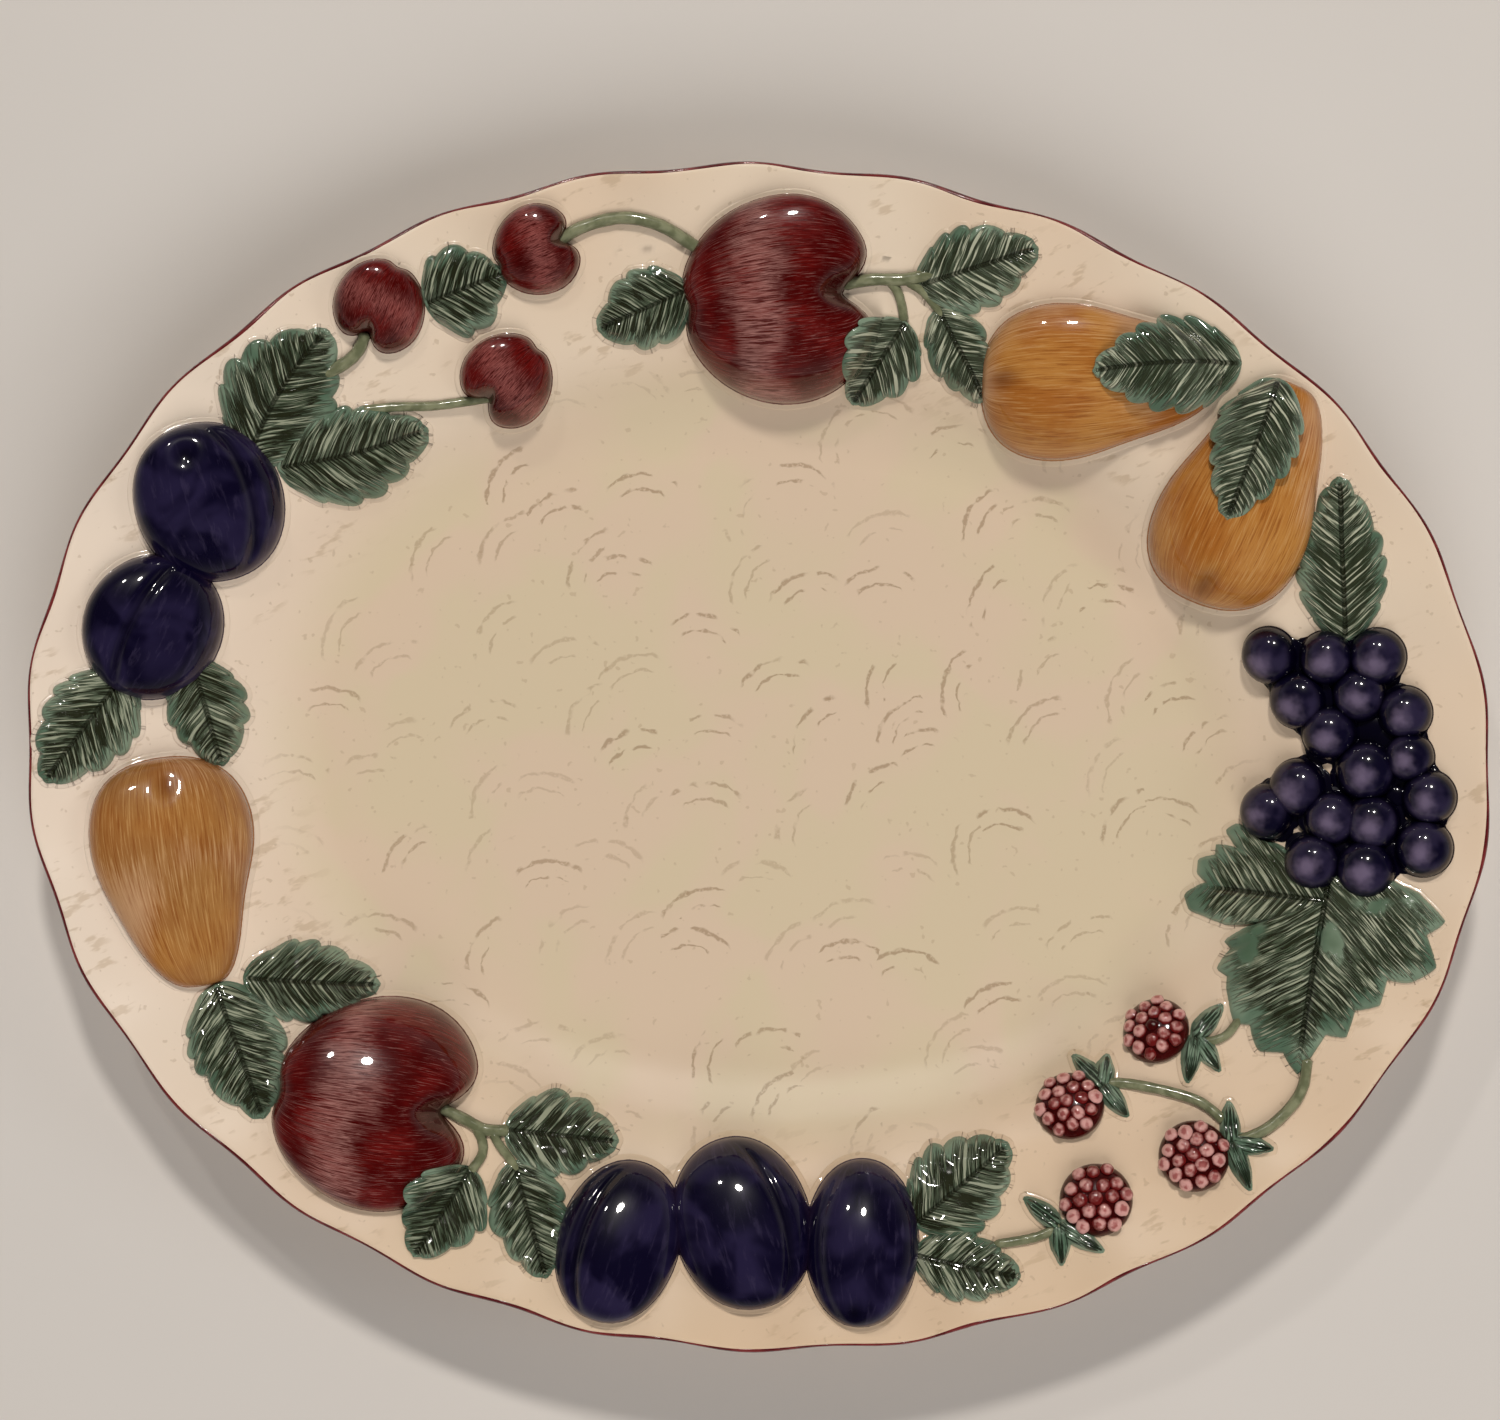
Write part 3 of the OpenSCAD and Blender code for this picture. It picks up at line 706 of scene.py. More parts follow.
def apple_profile(t):
    return -math.cos(t), math.sin(t) ** 0.92 * (1 - 0.08 * math.cos(t))


def pear_profile(t):
    x = -math.cos(t)
    body = math.sin(t) ** (0.85 if x < 0 else 0.85 - 0.25 * x) * (1 - 0.32 * x) / 1.045
    return x, body * (1 - 0.06 * math.exp(-(((x - 0.3) / 0.35) ** 2)))


def plum_profile(t):
    return -math.cos(t), math.sin(t) ** 0.94


def stalk_notch(name):
    """How deep the stalk sits in a fruit, and the half angle of the notch in degrees."""
    return {"apple": (0.36, 14), "cherry": (0.36, 17)}.get(name.split("_")[0], (0, 1))


def dents(name):
    """Small hollows in a fruit's crown: (along, across, radius, depth), as shares of its size."""
    return {
        "pear_left": [(-0.76, 0.10, 0.12, 0.0009)],
        "pear_upper": [(-0.84, 0.02, 0.12, 0.0012)],
        "pear_right": [(-0.86, 0.05, 0.12, 0.0012)],
        "plum_left_upper": [(0.60, 0.10, 0.13, 0.0012)],
        "plum_bottom_right": [(-0.80, 0.12, 0.10, 0.0007)],
    }.get(name, [])


# The seam of each plum: where it lies across the fruit, and how deep it is
SEAMS = {"plum_left_upper": (-0.62, 0.0013), "plum_left_lower": (0.25, 0.0018),
         "plum_bottom_left": (0.62, 0.0016), "plum_bottom_middle": (-0.62, 0.0014),
         "plum_bottom_right": (0.75, 0.0005)}

# How far the neck of a pear leans sideways
LEANS = {"pear_left": 0.16}

FRUIT_STEPS, FRUIT_SPIN = 64, 96
PEAR_TAPER, ROUND_TAPER = 0.28, -0.06


def fruit(name, profile, material, slot):
    angle, inset, turn, half_length, half_width, rise = FRUIT[name]
    half_length, half_width = half_length * MM, half_width * MM
    bm = bmesh.new()
    grain, cover = patterned(bm)
    line = []
    for i in range(FRUIT_STEPS + 1):
        x, r = profile(math.pi * (0.002 + 0.996 * i / FRUIT_STEPS))
        line.append(bm.verts.new((x, r, 0)))
    edges = [bm.edges.new(pair) for pair in zip(line, line[1:])]
    bmesh.ops.spin(bm, geom=line + edges, axis=(1, 0, 0), cent=(0, 0, 0), angle=2 * math.pi,
                   steps=FRUIT_SPIN, use_merge=True)
    bmesh.ops.remove_doubles(bm, verts=bm.verts, dist=1e-5)
    bmesh.ops.holes_fill(bm, edges=open_edges(bm), sides=0)
    bmesh.ops.recalc_face_normals(bm, faces=bm.faces)
    bmesh.ops.bisect_plane(bm, geom=bm.verts[:] + bm.edges[:] + bm.faces[:], plane_co=(0, 0, 0),
                           plane_no=(0, 0, 1), clear_inner=True)
    c = spot(angle, inset)
    g = slope(c)
    seam, seam_depth = SEAMS.get(name, (0, 0))
    notch, notch_angle = stalk_notch(name)
    for v in bm.verts:
        x, y, z = v.co
        v[grain] = Vector((x, math.atan2(y, z) * 0.5 + y * 0.55 + len(name), z))
        off_stalk = math.degrees(math.atan2(y, x))
        reach = math.hypot(x, y)
        pulled = 1 - notch * math.exp(-((off_stalk / notch_angle) ** 2)) * ease(reach / 0.8)
        off_flower = math.degrees(math.atan2(y, -x))
        pulled -= 0.2 * notch * math.exp(-((off_flower / 10) ** 2)) * ease(reach)
        x, y = x * pulled, y * pulled + LEANS.get(name, 0) * max(0, x) ** 2
        lump = 1 + 0.03 * noise.noise(Vector((x * 1.5, y * 1.5, len(name))))
        h = z ** 0.92 * lump if z > 0 else 0
        height = h * rise
        cavity = math.exp(-(((x - 1 + notch) ** 2 + y * y) / 0.035)) if notch else 0
        height *= 1 - 0.42 * cavity
        # hollow_shade marks the stalk cavity, the dents and the plum seams, where the glazes paint
        # shade.
        hollow_shade = cavity
        for along, across, radius, depth in dents(name):
            near = math.exp(-((x - along) ** 2 + (y - across) ** 2) / (radius * radius))
            ridge = math.exp(-((math.hypot(x - along, y - across) - radius * 1.9) / radius) ** 2)
            height -= depth * near * ease(z * 5) - 0.25 * depth * ridge * ease(z * 5)
            hollow_shade = max(hollow_shade, near)
        bow = seam * (1 - x * x) ** 0.5 if abs(x) < 1 else 0
        cut = math.exp(-(((y - bow) / 0.07) ** 2)) * ease((1 - abs(x)) * 3) * ease(z * 4)
        height -= seam_depth * cut
        hollow_shade = max(hollow_shade, 0.8 * cut if seam_depth > 0.0006 else 0)
        q = c + turned(x * half_length, y * half_width, turn)
        ground = top_z(q) * (1 - h) + (top_z(c) + g.dot(q - c)) * h
        v.co = Vector((q.x, q.y, ground + height + FRUIT_LIFT))
        v[cover] = Vector((1, h, hollow_shade))
    glaze_down(bm, cover, FRUIT_FILLET)
    return made(bm, name + "_glazed", material, slot, name)


def fruit_z(p, name):
    """Height that a fruit adds over a point of the plan, for what lies on it."""
    angle, inset, turn, half_length, half_width, rise = FRUIT[name]
    d = p - spot(angle, inset)
    q = turned(d.x, d.y, -turn)
    x = q.x / (half_length * MM)
    taper = PEAR_TAPER if name.startswith("pear") else ROUND_TAPER
    y = q.y / (half_width * MM * (1 - taper * x))
    u = math.hypot(x, y) / 1.06
    return rise * math.sqrt(max(0, 1 - u ** 2.3))


# ---------------------------------------------------------------- leaves

# (angle, inset, turn from stalk to tip, length, width, bend, teeth a side, fruit it lies on)
LEAVES = {
    "leaf_apple_top_left": (108, 39, 207, 28.3, 23, 0, 4, ()),
    "leaf_apple_top_upper": (69.5, 19.1, 20.7, 35.5, 24.3, 0, 5, ()),
    "leaf_apple_top_lower": (76.6, 51.6, 240, 27.5, 24, 0, 4, ("apple_top",)),
    "leaf_apple_top_right": (66.8, 44.1, 302, 29.3, 17.8, 0, 4, ()),
    "leaf_cherry": (125.7, 21.6, 25.2, 24, 26.3, 0, 3, ()),
    "leaf_corner_large": (146.1, 23.4, 61.5, 43.6, 32.9, 2, 5, ()),
    "leaf_corner_small": (146.4, 47, 18.9, 43.9, 28, -1.5, 5, ()),
    "leaf_plum_left_outer": (181, 16.4, 238.8, 38.2, 26.3, 0, 5, ()),
    "leaf_plum_left_inner": (179, 49.5, 288.4, 31.3, 22.5, 0, 4, ()),
    "leaf_pear_left_inner": (210.3, 51.6, 359, 37.6, 23.1, 0, 5, ()),
    "leaf_pear_left_outer": (213.1, 23.4, 294.4, 40.3, 27.2, 0, 5, ()),
    "leaf_apple_bottom_inner": (246.1, 50.9, 356.9, 32.4, 23.7, 0, 4, ()),
    "leaf_apple_bottom_outer": (238.8, 18.9, 240.7, 29.3, 25.2, 0, 4, ("apple_bottom",)),
    "leaf_apple_bottom_middle": (247.3, 25.7, 290.4, 33.3, 22.3, 0, 4, ()),
    "leaf_plum_bottom_upper": (299, 40.3, 43.4, 35.1, 27.3, 0, 5, ()),
    "leaf_plum_bottom_lower": (295.9, 17.6, 352.7, 30.4, 20, 0, 4, ()),
    "leaf_grape_top": (22.3, 25, 97, 46.5, 25, 0, 6, ()),
    "leaf_pear_right": (35.6, 26.7, 253.8, 43, 25.2, 0, 6, ("pear_right",)),
    "leaf_pear_upper": (47.3, 23.4, 187, 43, 29, -1, 6, ("pear_upper",)),
}

LEAF_CELLS = {"x_segments": 120, "y_segments": 44}
SEPAL_CELLS = {"x_segments": 40, "y_segments": 16}
SEPAL_WIDTH, SEPAL_RISE = 0.0056, 0.0026


def leaf_width(s):
    s = min(0.9995, max(0.0005, s))
    return math.sin(math.pi * s ** 0.75) ** 0.75


def lobe(phase):
    """A rounded lobe that leans towards the tip, with a sharp nick after it."""
    return math.sin(math.pi * (phase % 1) ** 1.3) ** 0.6


def ground_z(p, under):
    return top_z(p) + max([fruit_z(p, name) for name in under], default=0)


def leaf_blade(bm, grain, cover, c, turn, length, width, bend, teeth, under, seed, rise):
    """Shapes a flat grid into a lobed, cushioned leaf lying on whatever is under it."""
    for v in bm.verts:
        s, t = (v.co.x + 1) / 2, v.co.y
        side = 1 if t > 0 else -1
        a = abs(t)
        phase = teeth * s + 0.18 * side + 0.5 * noise.noise(Vector((s * 2.5, side * 5, seed * 1.3)))
        swell = lobe(phase)
        notch = ease(s / 0.12) * ease((1 - s) / 0.06)
        uneven = 0.06 * noise.noise(Vector((s * 4, side, seed)))
        w = max(0.0006, width * leaf_width(s) * (1 + uneven - 0.15 * notch * (1 - swell))) / 2
        lean = 0.03 * length * swell * notch * a ** 4
        q = c + turned(length * (s - 0.5) + lean, bend * math.sin(math.pi * s) + t * w, turn)
        cushion = (1 - a ** 5) * (0.66 + 0.34 * ease(a / 0.35))
        fold = 0.26 * noise.noise(Vector((s * 3.1, t * 2.3, seed * 1.7))) * (1 - a ** 4)
        wave = 0.14 * math.cos(2 * math.pi * (phase - 0.6 + 0.5 * a)) * a * (1 - a ** 6)
        ends = 0.45 + 0.55 * ease(s / 0.15) * ease((1 - s) / 0.2)
        v[grain] = Vector((length * s / MM, a * w / MM, seed))
        v[cover] = Vector((1, (1 - a) * ease(s / 0.07) * ease((1 - s) / 0.11), 0))
        lift = rise * min(1.05, 0.42 + 0.58 * cushion + fold + wave) * ends
        v.co = Vector((q.x, q.y, ground_z(q, under) + lift))


def leaf(name, material, seed):
    angle, inset, turn, length, width, bend, teeth, under = LEAVES[name]
    bm = bmesh.new()
    grain, cover = patterned(bm)
    bmesh.ops.create_grid(bm, **LEAF_CELLS, size=1)
    rise = LAID_RISE if under else LEAF_RISE
    leaf_blade(bm, grain, cover, spot(angle, inset), turn, length * MM, width * MM, bend * MM,
               teeth, under, seed, rise)
    if under:
        glaze_over(bm, under)
    else:
        glaze_down(bm, cover, LEAF_FILLET)
    return made(bm, name + "_glazed", material, "leaf_glaze", name)


def glaze_over(bm, under):
    """Closes a leaf that lies on a fruit with an underside pressed a little way into it."""
    underside = bmesh.ops.duplicate(bm, geom=bm.verts[:] + bm.edges[:] + bm.faces[:])["geom"]
    for v in underside:
        if isinstance(v, bmesh.types.BMVert):
            v.co.z = ground_z(v.co.xy, under) - PRESS
    bmesh.ops.bridge_loops(bm, edges=open_edges(bm))


# Saw-edged outline of the vine leaf about its stalk: (direction, reach)
VINE_RINGS, VINE_AROUND = 50, 420
VINE_STALK = (349.4, 39.2)
VINE_EDGE = (
    (16, 21), (8, 26), (-6, 33), (-15, 29), (-28, 35.5), (-40, 33), (-49, 28), (-60, 33), (-72, 32),
    (-79, 39), (-87, 38), (-96, 50), (-102, 45), (-110, 47), (-117, 41.5), (-122, 43.5), (-130, 39),
    (-137, 35), (-142, 36), (-147, 29.5), (-152, 30), (-156, 19), (-161, 28), (-166, 32),
    (-171, 37), (-177, 38), (-184, 32), (-188, 35), (-194, 35.5), (-199, 31.5), (-204, 32.5),
    (-208, 27), (-213, 32.5), (-219, 31.5), (-224, 22), (-240, 10), (-300, 8),
)


def vine_reach(degrees):
    """Reach of the vine leaf in a direction, between the named points of its edge."""
    d = (degrees - 16) % 360 - 360
    points = [(p[0] - 16, p[1]) for p in VINE_EDGE] + [(-360, VINE_EDGE[0][1])]
    for (d1, r1), (d2, r2) in zip(points, points[1:]):
        if d2 <= d <= d1:
            return r1 + (r2 - r1) * ((d1 - d) / (d1 - d2)) ** 1.2
    return VINE_EDGE[0][1]


# The vine leaf's ribs: (direction from its stalk, how narrowly its veins spread from it)
# and its smooth patches: (direction, distance, half length, half width, turn)
VINE_RIBS = ((-96.8, 1), (-182, 2.3))
VINE_PATCHES = ((-2, 20, 13, 4, -8), (-80, 12, 8, 3.6, -70), (-146, 24, 8, 3.6, -105))


def nearest_rib(r, d):
    """A point of the vine leaf, measured along and out from the rib nearest to it."""
    offs = [((d - rib + 180) % 360 - 180, narrow) for rib, narrow in VINE_RIBS]
    return turned(r, 0, min(offs, key=lambda pair: abs(pair[0]) * pair[1])[0])


def vine_patch(p, direction, distance, half_length, half_width, turn):
    """How far a point of the vine leaf lies inside a smooth patch."""
    off = turned(*(p - turned(distance, 0, direction)), -turn)
    return math.exp(-((off.x / half_length) ** 2 + (off.y / half_width) ** 2))


def grape_leaf(material):
    bm = bmesh.new()
    grain, cover = patterned(bm)
    bmesh.ops.create_circle(bm, cap_ends=True, radius=1 / VINE_RINGS, segments=VINE_AROUND)
    edges = open_edges(bm)
    for i in range(2, VINE_RINGS + 1):
        edges = stepped(bm, edges, lambda v, old: old.co.normalized() * (i / VINE_RINGS))
    c = spot(*VINE_STALK)
    for v in bm.verts:
        u = v.co.length
        d = math.degrees(math.atan2(v.co.y, v.co.x))
        r = vine_reach(d) * u
        q = c + turned(r * MM, 0, d)
        lie = nearest_rib(r, d)
        out = abs(lie.y)
        smooth = max(vine_patch(turned(r, 0, d), *patch) for patch in VINE_PATCHES)
        fold = 0.3 * noise.noise(Vector((lie.x * 0.08, lie.y * 0.08, 3.1)))
        rib_cut = 0.42 * math.exp(-((out / 1.1) ** 2)) * (1 - u ** 6)
        swell = 0.25 * (1 - math.exp(-((out / 4) ** 2))) * (1 - u ** 6)
        plump = 0.42 + 0.5 * (1 - u ** 8) + swell + fold * (1 - u ** 6) - rib_cut
        v[grain] = Vector((lie.x, out, 40))
        v[cover] = Vector((1, 1.8 * (1 - u), smooth))
        v.co = Vector((q.x, q.y, top_z(q) + LEAF_RISE * min(1.1, plump)))
    glaze_down(bm, cover, LEAF_FILLET)
    return made(bm, "grape_leaf_glazed", material, "leaf_glaze", "grape_leaf")


# Each calyx: (angle, inset, [(direction, length) of each sepal])
CALYXES = {
    "raspberry_low_calyx": (306.3, 21.2, ((147, 12.6), (277, 12), (334, 15))),
    "raspberry_inner_calyx": (320, 52.2, ((140, 11.5), (80, 9), (312, 12))),
    "raspberry_outer_calyx": (324.5, 18.4, ((95, 11.5), (354, 12.5), (294, 15))),
    "raspberry_high_calyx": (331, 47.6, ((53, 12.5), (308, 12.5), (263, 14))),
}


def calyx(name, material):
    angle, inset, sepals = CALYXES[name]
    bm = bmesh.new()
    grain, cover = patterned(bm)
    c = spot(angle, inset)
    for i, (direction, length) in enumerate(sepals):
        one = bmesh.new()
        one_grain, one_cover = patterned(one)
        bmesh.ops.create_grid(one, **SEPAL_CELLS, size=1)
        middle = c + turned((length / 2 - 0.8) * MM, 0, direction)
        leaf_blade(one, one_grain, one_cover, middle, direction, length * MM, SEPAL_WIDTH, 0,
                   0, (), i, SEPAL_RISE)
        glaze_down(one, one_cover, LEAF_FILLET)
        sepal = meshed(one, "sepal")
        bm.from_mesh(sepal)
        bpy.data.meshes.remove(sepal)
    return made(bm, name + "_glazed", material, "leaf_glaze", name)


# ---------------------------------------------------------------- twigs and stems

# Routes of (angle, inset), each with its thickness in millimetres
TWIGS = {
    "apple_top_twig": (
        (((83.6, 31.8), (80.3, 29), (76.6, 27.3), (74.1, 24.2), (72.6, 21)), 3.7),
        (((78.2, 28.6), (77, 31), (76, 34.6), (75.1, 38.8)), 2.8),
        (((76.4, 27.6), (74.4, 29.2), (72.8, 31.6), (70.8, 35)), 2.7)),
    "cherry_upper_stem": (
        (((115.3, 17), (112.2, 13.6), (108, 12.6), (104.3, 15.8), (101, 22), (99.2, 25.6)), 3.7),),
    "cherry_left_stem": ((((136.4, 21), (138, 24.2), (139.8, 25.5), (142.4, 25)), 3.7),),
    "cherry_lower_stem": (
        (((130.2, 53.4), (133.4, 51.4), (136.6, 48.6), (139.8, 43.6), (142.4, 39.6)), 2.8),),
    "apple_bottom_twig": (
        (((231.2, 45.2), (234.4, 45.3), (237.3, 45), (239.9, 47.3)), 3.5),
        (((235.8, 45.1), (237.8, 41.8), (238.8, 38), (238.8, 32.5)), 2.9),
        (((238.2, 45.2), (239.9, 42.4), (241.6, 40.2), (243.4, 37.4)), 2.7)),
    "raspberry_twigs": (
        (((299.4, 21.4), (302.4, 20.2), (304.4, 19.9), (306.4, 20.6)), 2.8),
        (((320.2, 52.2), (322.2, 48.2), (324.4, 40), (325.6, 32.2), (325.6, 24)), 3.1),
        (((324.6, 17.6), (327.4, 14.6), (330.4, 14.4), (332.6, 16.2), (334.8, 20.4)), 3.3),
        (((330.2, 47.6), (331.4, 43.6), (333, 41.6), (335.4, 42.2)), 2.6)),
}


def smooth_route(points, fine=8):
    """The points of a route, joined by a curve that goes through each of them."""
    line = []
    for i in range(len(points) - 1):
        p0, p1 = points[max(0, i - 1)], points[i]
        p2, p3 = points[i + 1], points[min(len(points) - 1, i + 2)]
        for j in range(fine):
            u = j / fine
            line.append(0.5 * (2 * p1 + u * (p2 - p0) + u * u * (2 * p0 - 5 * p1 + 4 * p2 - p3)
                               + u ** 3 * (3 * p1 - p0 - 3 * p2 + p3)))
    return line + [points[-1]]


def twig_strand(bm, grain, cover, route, thickness):
    line = smooth_route([spot(a, i) for a, i in route])
    last = len(line) - 1

    def ring(k):
        way = line[min(last, k + 1)] - line[max(0, k - 1)]
        side = Vector((way.y, -way.x)).normalized()
        end = min(1, 0.55 + 0.45 * math.sin(math.pi * min(0.5, k / 6))) if k < 6 else 1
        r = thickness * MM / 2 * (1 + 0.1 * noise.noise(Vector((k * 0.4, thickness, 0)))) * end
        if k == last:
            r *= 0.6
        base = top_z(line[k]) + r * 0.35
        return side, r, base

    def place(k, v):
        side, r, base = ring(k)
        t = v[cover].z
        q = line[k] + side * math.cos(t) * r
        v[grain] = Vector((k, t, math.sin(t)))
        v[cover] = Vector((1, 0, t))
        return Vector((q.x, q.y, base + math.sin(t) * r * (1 if math.sin(t) > 0 else 1.2)))

    start = bmesh.ops.create_circle(bm, cap_ends=True, radius=1, segments=18)["verts"]
    for v in start:
        v[cover] = Vector((1, 0, math.atan2(v.co.y, v.co.x)))
    for v in start:
        v.co = place(0, v)
    edges = open_edges(bm)
    for k in range(1, last + 1):

        def step(v, old):
            v[cover] = old[cover]
            return place(k, v)

        edges = stepped(bm, edges, step)
    bmesh.ops.holes_fill(bm, edges=edges, sides=0)


def twig(name, material):
    bm = bmesh.new()
    grain, cover = patterned(bm)
    for route, thickness in TWIGS[name]:
        twig_strand(bm, grain, cover, route, thickness)
    return made(bm, name + "_glazed", material, "twig_glaze", name)


# ---------------------------------------------------------------- berries

# (angle, inset, radius, how pale its beads are)
RASPBERRIES = {
    "raspberry_low": (310.9, 23.4, 11.2, 0), "raspberry_inner": (315.3, 50.8, 10.7, 0.05),
    "raspberry_outer": (321.1, 20.8, 10.9, 0.16), "raspberry_high": (329, 55.7, 10.5, 0),
}

# The grapes of each layer, (angle, inset, radius), and how far the layer is raised
GRAPES = {
    "grapes_back": (((9.6, 50.6, 8.3), (9.5, 33.8, 7.7), (3.6, 22.2, 7.1), (357.5, 42.8, 7.8)), 0),
    "grapes_middle": (((14.8, 54.4, 8.3), (12.8, 26.4, 8.2), (7.5, 22.2, 7.7), (6, 43.7, 7.8),
                       (0.3, 52.5, 8.4), (0.2, 16.6, 7.7), (357.5, 31.5, 8),
                       (352.8, 45.5, 8.1)), 0.4),
    "grapes_front": (((13.5, 40, 7.8), (2.3, 34.1, 8.6), (357.4, 59.8, 8.3), (355.8, 16.4, 8.3),
                      (353.1, 30.8, 8.5)), 0.8),
}


def seat(angle, inset):
    """Where a berry sits on the rim, square to the surface."""
    c = spot(angle, inset)
    g = slope(c)
    square = Vector((0, 0, 1)).rotation_difference(Vector((-g.x, -g.y, 1))).to_matrix().to_4x4()
    return Matrix.Translation((c.x, c.y, top_z(c))) @ square


# Dark glaze lying in the deepest gaps between the grapes, coloured near-black as painted shade:
# (angle, inset, radius)
GRAPE_SHADE_POOLS = ((6.1, 32.3, 4.8), (5.1, 28.4, 4), (0.1, 25.9, 3.2), (354.8, 38.8, 2.8),
               (355.4, 25.5, 2.8), (9.2, 42.6, 2.4))
POOL_RISE = 0.0014

GRAPE_CENTRES = [(spot(a, i), r * MM) for bunch, _ in GRAPES.values() for a, i, r in bunch]


def grape_section(down, wide):
    """The dark glaze round a grape's foot, coloured near-black as painted shade: its reach and
    height at a share of the way down.
    """
    if down < 0.3:
        return 1 + wide * ease(down / 0.25), 0.0007 - 0.0005 * ease(down / 0.25)
    return (1 + wide) * (1 - (down - 0.3) / 0.7), -0.0005


def shade_pool_reach(c, way, r):
    """How far the dark glaze, coloured as painted shade, runs out from a grape: further in the gap
    to a neighbour.
    """
    p = c + way * r * 1.2
    near = min((p - other).length / size for other, size in GRAPE_CENTRES
               if (other - c).length > MM)
    return 0.05 + 0.2 * ease((1.35 - near) / 0.35)


def grape_bunch(name, material):
    places, raised = GRAPES[name]
    bm = bmesh.new()
    grain, cover = patterned(bm)
    for angle, inset, radius in places:
        r = radius * MM
        rise = GRAPE_RISE + raised * MM
        berry = bmesh.ops.create_uvsphere(bm, u_segments=64, v_segments=36, radius=1)["verts"]
        lie = seat(angle, inset)
        for v in berry:
            x, y, z = v.co
            v[grain] = Vector((x, y, z))
            v[cover] = Vector((1, z, 0))
            wide, up = 1, 0.0007
            if z < 0 and math.hypot(x, y) > 1e-6:
                way = Vector((x, y)).normalized()
                wide, up = grape_section(-z, shade_pool_reach(spot(angle, inset), way, r))
                x, y = way * wide
            v.co = lie @ Vector((x * r, y * r, up + max(0, z) * rise))
    if name == "grapes_back":
        for angle, inset, radius in GRAPE_SHADE_POOLS:
            lie = seat(angle, inset)
            for v in bmesh.ops.create_uvsphere(bm, u_segments=32, v_segments=12, radius=1)["verts"]:
                x, y, z = v.co
                v[cover] = Vector((1, 0, 0))
                v.co = lie @ Vector((x * radius * MM, y * radius * MM, z * POOL_RISE))
    return made(bm, name + "_glazed", material, "grape_glaze", name)


# Spacing and size of a raspberry's beads, as shares of its radius
BEAD_STEP, BEAD_SIZE = 0.378, 0.19
CORE_SIZE, CORE_DEPTH = 0.94, 0.0015


def bead_places(turn):
    """Offset rows of beads over a raspberry of unit radius."""
    for row in range(-3, 4):
        for place in range(-3, 4):
            p = turned((place + 0.5 * (row % 2)) * BEAD_STEP, row * BEAD_STEP * 0.9, turn)
            off = [noise.noise(Vector((*p * 9, turn + k))) for k in (0, 5)]
            p += 0.08 * Vector(off)
            if p.length < 0.93:
                yield p


def raspberry(name, material):
    """A dark core closely set with round beads in offset rows."""
    angle, inset, radius, pale = RASPBERRIES[name]
    bm = bmesh.new()
    grain, cover = patterned(bm)
    r = radius * MM
    lie = seat(angle, inset)
    core = bmesh.ops.create_uvsphere(bm, u_segments=48, v_segments=24, radius=1)["verts"]
    for v in core:
        x, y, z = v.co
        v[grain] = Vector((0, 0, 1))
        v[cover] = Vector((1, 0, 0))
        height = RASPBERRY_RISE * 0.86 if z > 0 else CORE_DEPTH
        v.co = lie @ Vector((x * r * CORE_SIZE, y * r * CORE_SIZE, z * height))
    for i, (across, along) in enumerate(bead_places(angle)):
        out = math.hypot(across, along)
        loose = noise.noise(Vector((i * 1.3, angle, 0)))
        size = (BEAD_SIZE + 0.02 * loose) * r
        tilt = math.atan2(out, 1.3 * math.sqrt(max(0.02, 1 - out * out)))
        crown = RASPBERRY_RISE * 0.84 * math.sqrt(max(0, 1 - (out / 0.98) ** 2))
        spin = Matrix.Rotation(math.atan2(along, across), 4, "Z")
        spin = spin @ Matrix.Rotation(tilt * 0.8, 4, "Y")
        at = Matrix.Translation((across * r, along * r, crown))
        bead = bmesh.ops.create_uvsphere(bm, u_segments=20, v_segments=14, radius=1)["verts"]
        for v in bead:
            x, y, z = v.co
            v[grain] = Vector((0.2 + 0.6 * out + 0.7 * loose + pale, z, math.hypot(x, y)))
            v[cover] = Vector((1, 0, 0))
            uneven = 1 + 0.14 * noise.noise(Vector((x * 1.6 + i, y * 1.6, angle)))
            p = Vector((x * size * uneven * 1.08, y * size * uneven, z * size * 0.6))
            v.co = lie @ at @ spin @ p
    return made(bm, name + "_glazed", material, "raspberry_glaze", name)


# ---------------------------------------------------------------- camera, light and floor


CAMERA_LENS, CAMERA_ROLL = 84.3, 3.6
CAMERA_PLACE = (-0.0033, 0.0133, 1.037)


def stand_camera():
    """Looks straight down on the platter."""
    data = bpy.data.cameras.new("camera")
    data.sensor_width = 36
    data.lens = CAMERA_LENS
    data.clip_end = 20
    camera = linked("camera", data)
    camera.location = CAMERA_PLACE
    camera.rotation_euler = (0, 0, math.radians(CAMERA_ROLL))
    bpy.context.scene.camera = camera


def lamp(name, place, size, power, tint):
    """A round lamp aimed at the middle of the platter."""
    data = bpy.data.lights.new(name, "AREA")
    data.shape = "DISK"
    data.size = size
    data.energy = power
    data.color = tint
    light = linked(name, data)
    light.location = place
    light.rotation_euler = (-Vector(place)).to_track_quat("-Z", "Y").to_euler()
    return light


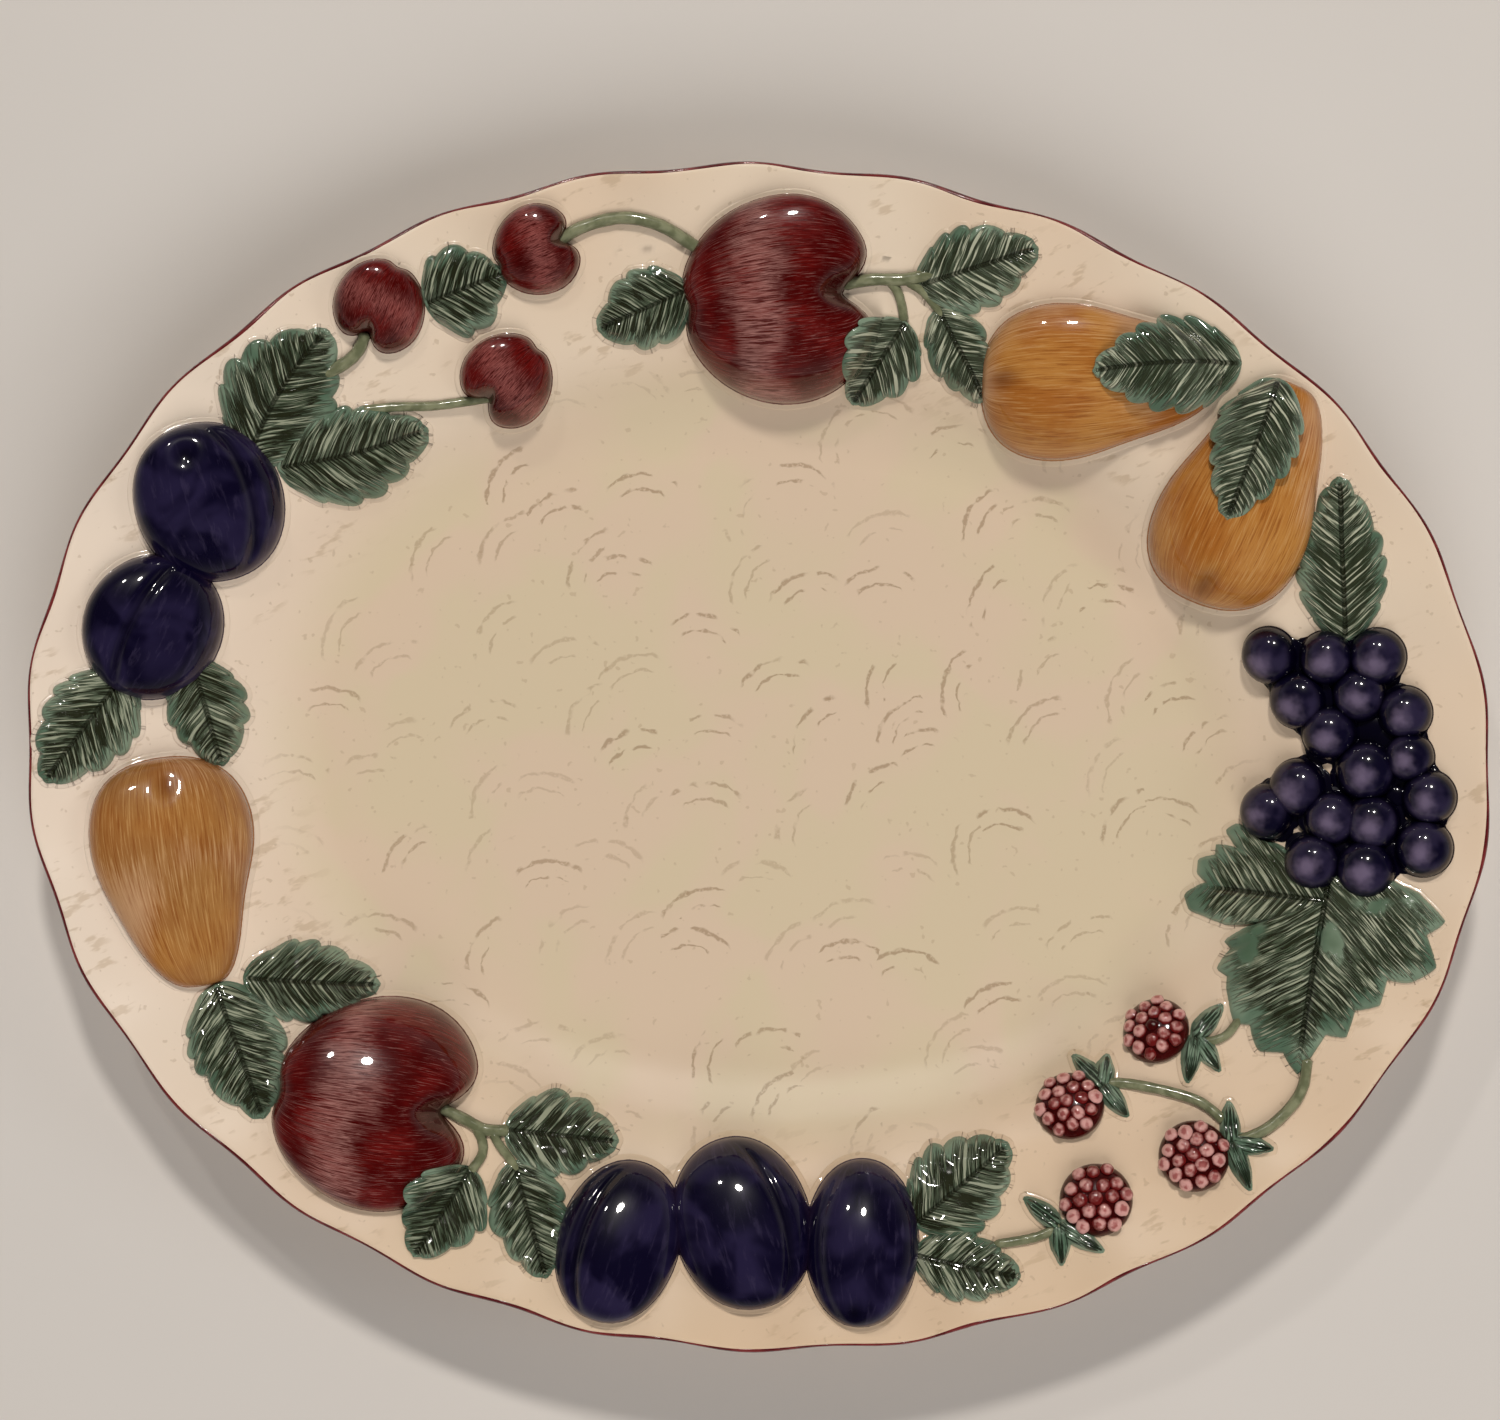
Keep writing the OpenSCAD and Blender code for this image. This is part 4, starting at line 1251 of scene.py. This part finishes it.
def light_studio():
    lamp("key_light", (-0.1, 2.1, 2.6), 0.32, 53, (1.0, 0.96, 0.905))
    lamp("second_light", (-1.2, 2.3, 2.4), 0.18, 13, (1.0, 0.97, 0.93))
    fill = lamp("fill_light", (0.4, -1.9, 2.0), 2.2, 43, (1.0, 0.975, 0.955))
    side = lamp("side_light", (2.2, -0.2, 1.3), 0.8, 8, (0.93, 0.97, 1.0))
    fill.visible_glossy = False
    side.visible_glossy = False
    world = bpy.data.worlds.new("studio")
    world.use_nodes = True
    nodes, links = world.node_tree.nodes, world.node_tree.links
    height = nodes.new("ShaderNodeSeparateXYZ")
    links.new(nodes.new("ShaderNodeTexCoord").outputs["Generated"], height.inputs[0])
    walls = nodes.new("ShaderNodeMapRange")
    walls.interpolation_type = "SMOOTHSTEP"
    links.new(height.outputs["Z"], walls.inputs["Value"])
    for key, value in (("From Min", 0.0), ("From Max", 0.55), ("To Min", 0.34), ("To Max", 0.03)):
        walls.inputs[key].default_value = value
    sky = nodes["Background"]
    sky.inputs["Color"].default_value = (1.0, 0.94, 0.86, 1)
    links.new(walls.outputs["Result"], sky.inputs["Strength"])
    bpy.context.scene.world = world
    bpy.context.scene.view_settings.view_transform = "Standard"


def lay_floor():
    bm = bmesh.new()
    bmesh.ops.create_grid(bm, x_segments=1, y_segments=1, size=14)
    mesh = meshed(bm, "floor")
    g = Glaze("floor_paint", roughness=0.6, coat=0.0, specular=0.3)
    g.colour(g.mix(g.patches(3, 3.0, 0.3, 0.7), paint(216, 210, 204), paint(212, 206, 200)))
    mesh.materials.append(g.material)
    floor = linked("floor", mesh)


# ---------------------------------------------------------------- the whole platter

stand_camera()
light_studio()
lay_floor()

platter_body()
foot_ring()
rim_line()

APPLE_RED, APPLE_CRIMSON, APPLE_PINK = paint(70, 1, 2), paint(102, 17, 15), paint(186, 134, 126)
CHERRY_RED, CHERRY_CRIMSON, CHERRY_PINK = paint(62, 0, 0), paint(98, 12, 10), paint(178, 104, 98)
apple_glaze = apple_like("apple_glaze", APPLE_RED, APPLE_CRIMSON, APPLE_PINK,
                         -0.24, 0.33, 0.62, 1)
cherry_glaze = apple_like("cherry_glaze", CHERRY_RED, CHERRY_CRIMSON, CHERRY_PINK,
                          0.0, 0.5, 0.55, 0.6)
for name in ("apple_top", "apple_bottom"):
    fruit(name, apple_profile, apple_glaze, "apple_glaze")
for name in ("cherry_upper", "cherry_left", "cherry_lower"):
    fruit(name, apple_profile, cherry_glaze, "cherry_glaze")
pear_finish = pear_glaze()
for name in ("pear_left", "pear_upper", "pear_right"):
    fruit(name, pear_profile, pear_finish, "pear_glaze")
plum_finish = plum_glaze()
for name in SEAMS:
    fruit(name, plum_profile, plum_finish, "plum_glaze")

leaf_finish = leaf_glaze()
for number, name in enumerate(LEAVES):
    leaf(name, leaf_finish, number)
grape_leaf(leaf_finish)
sepal_finish = sepal_glaze()
for name in CALYXES:
    calyx(name, sepal_finish)
twig_finish = twig_glaze()
for name in TWIGS:
    twig(name, twig_finish)
grape_finish = grape_glaze()
for name in GRAPES:
    grape_bunch(name, grape_finish)
raspberry_finish = raspberry_glaze()
for name in RASPBERRIES:
    raspberry(name, raspberry_finish)
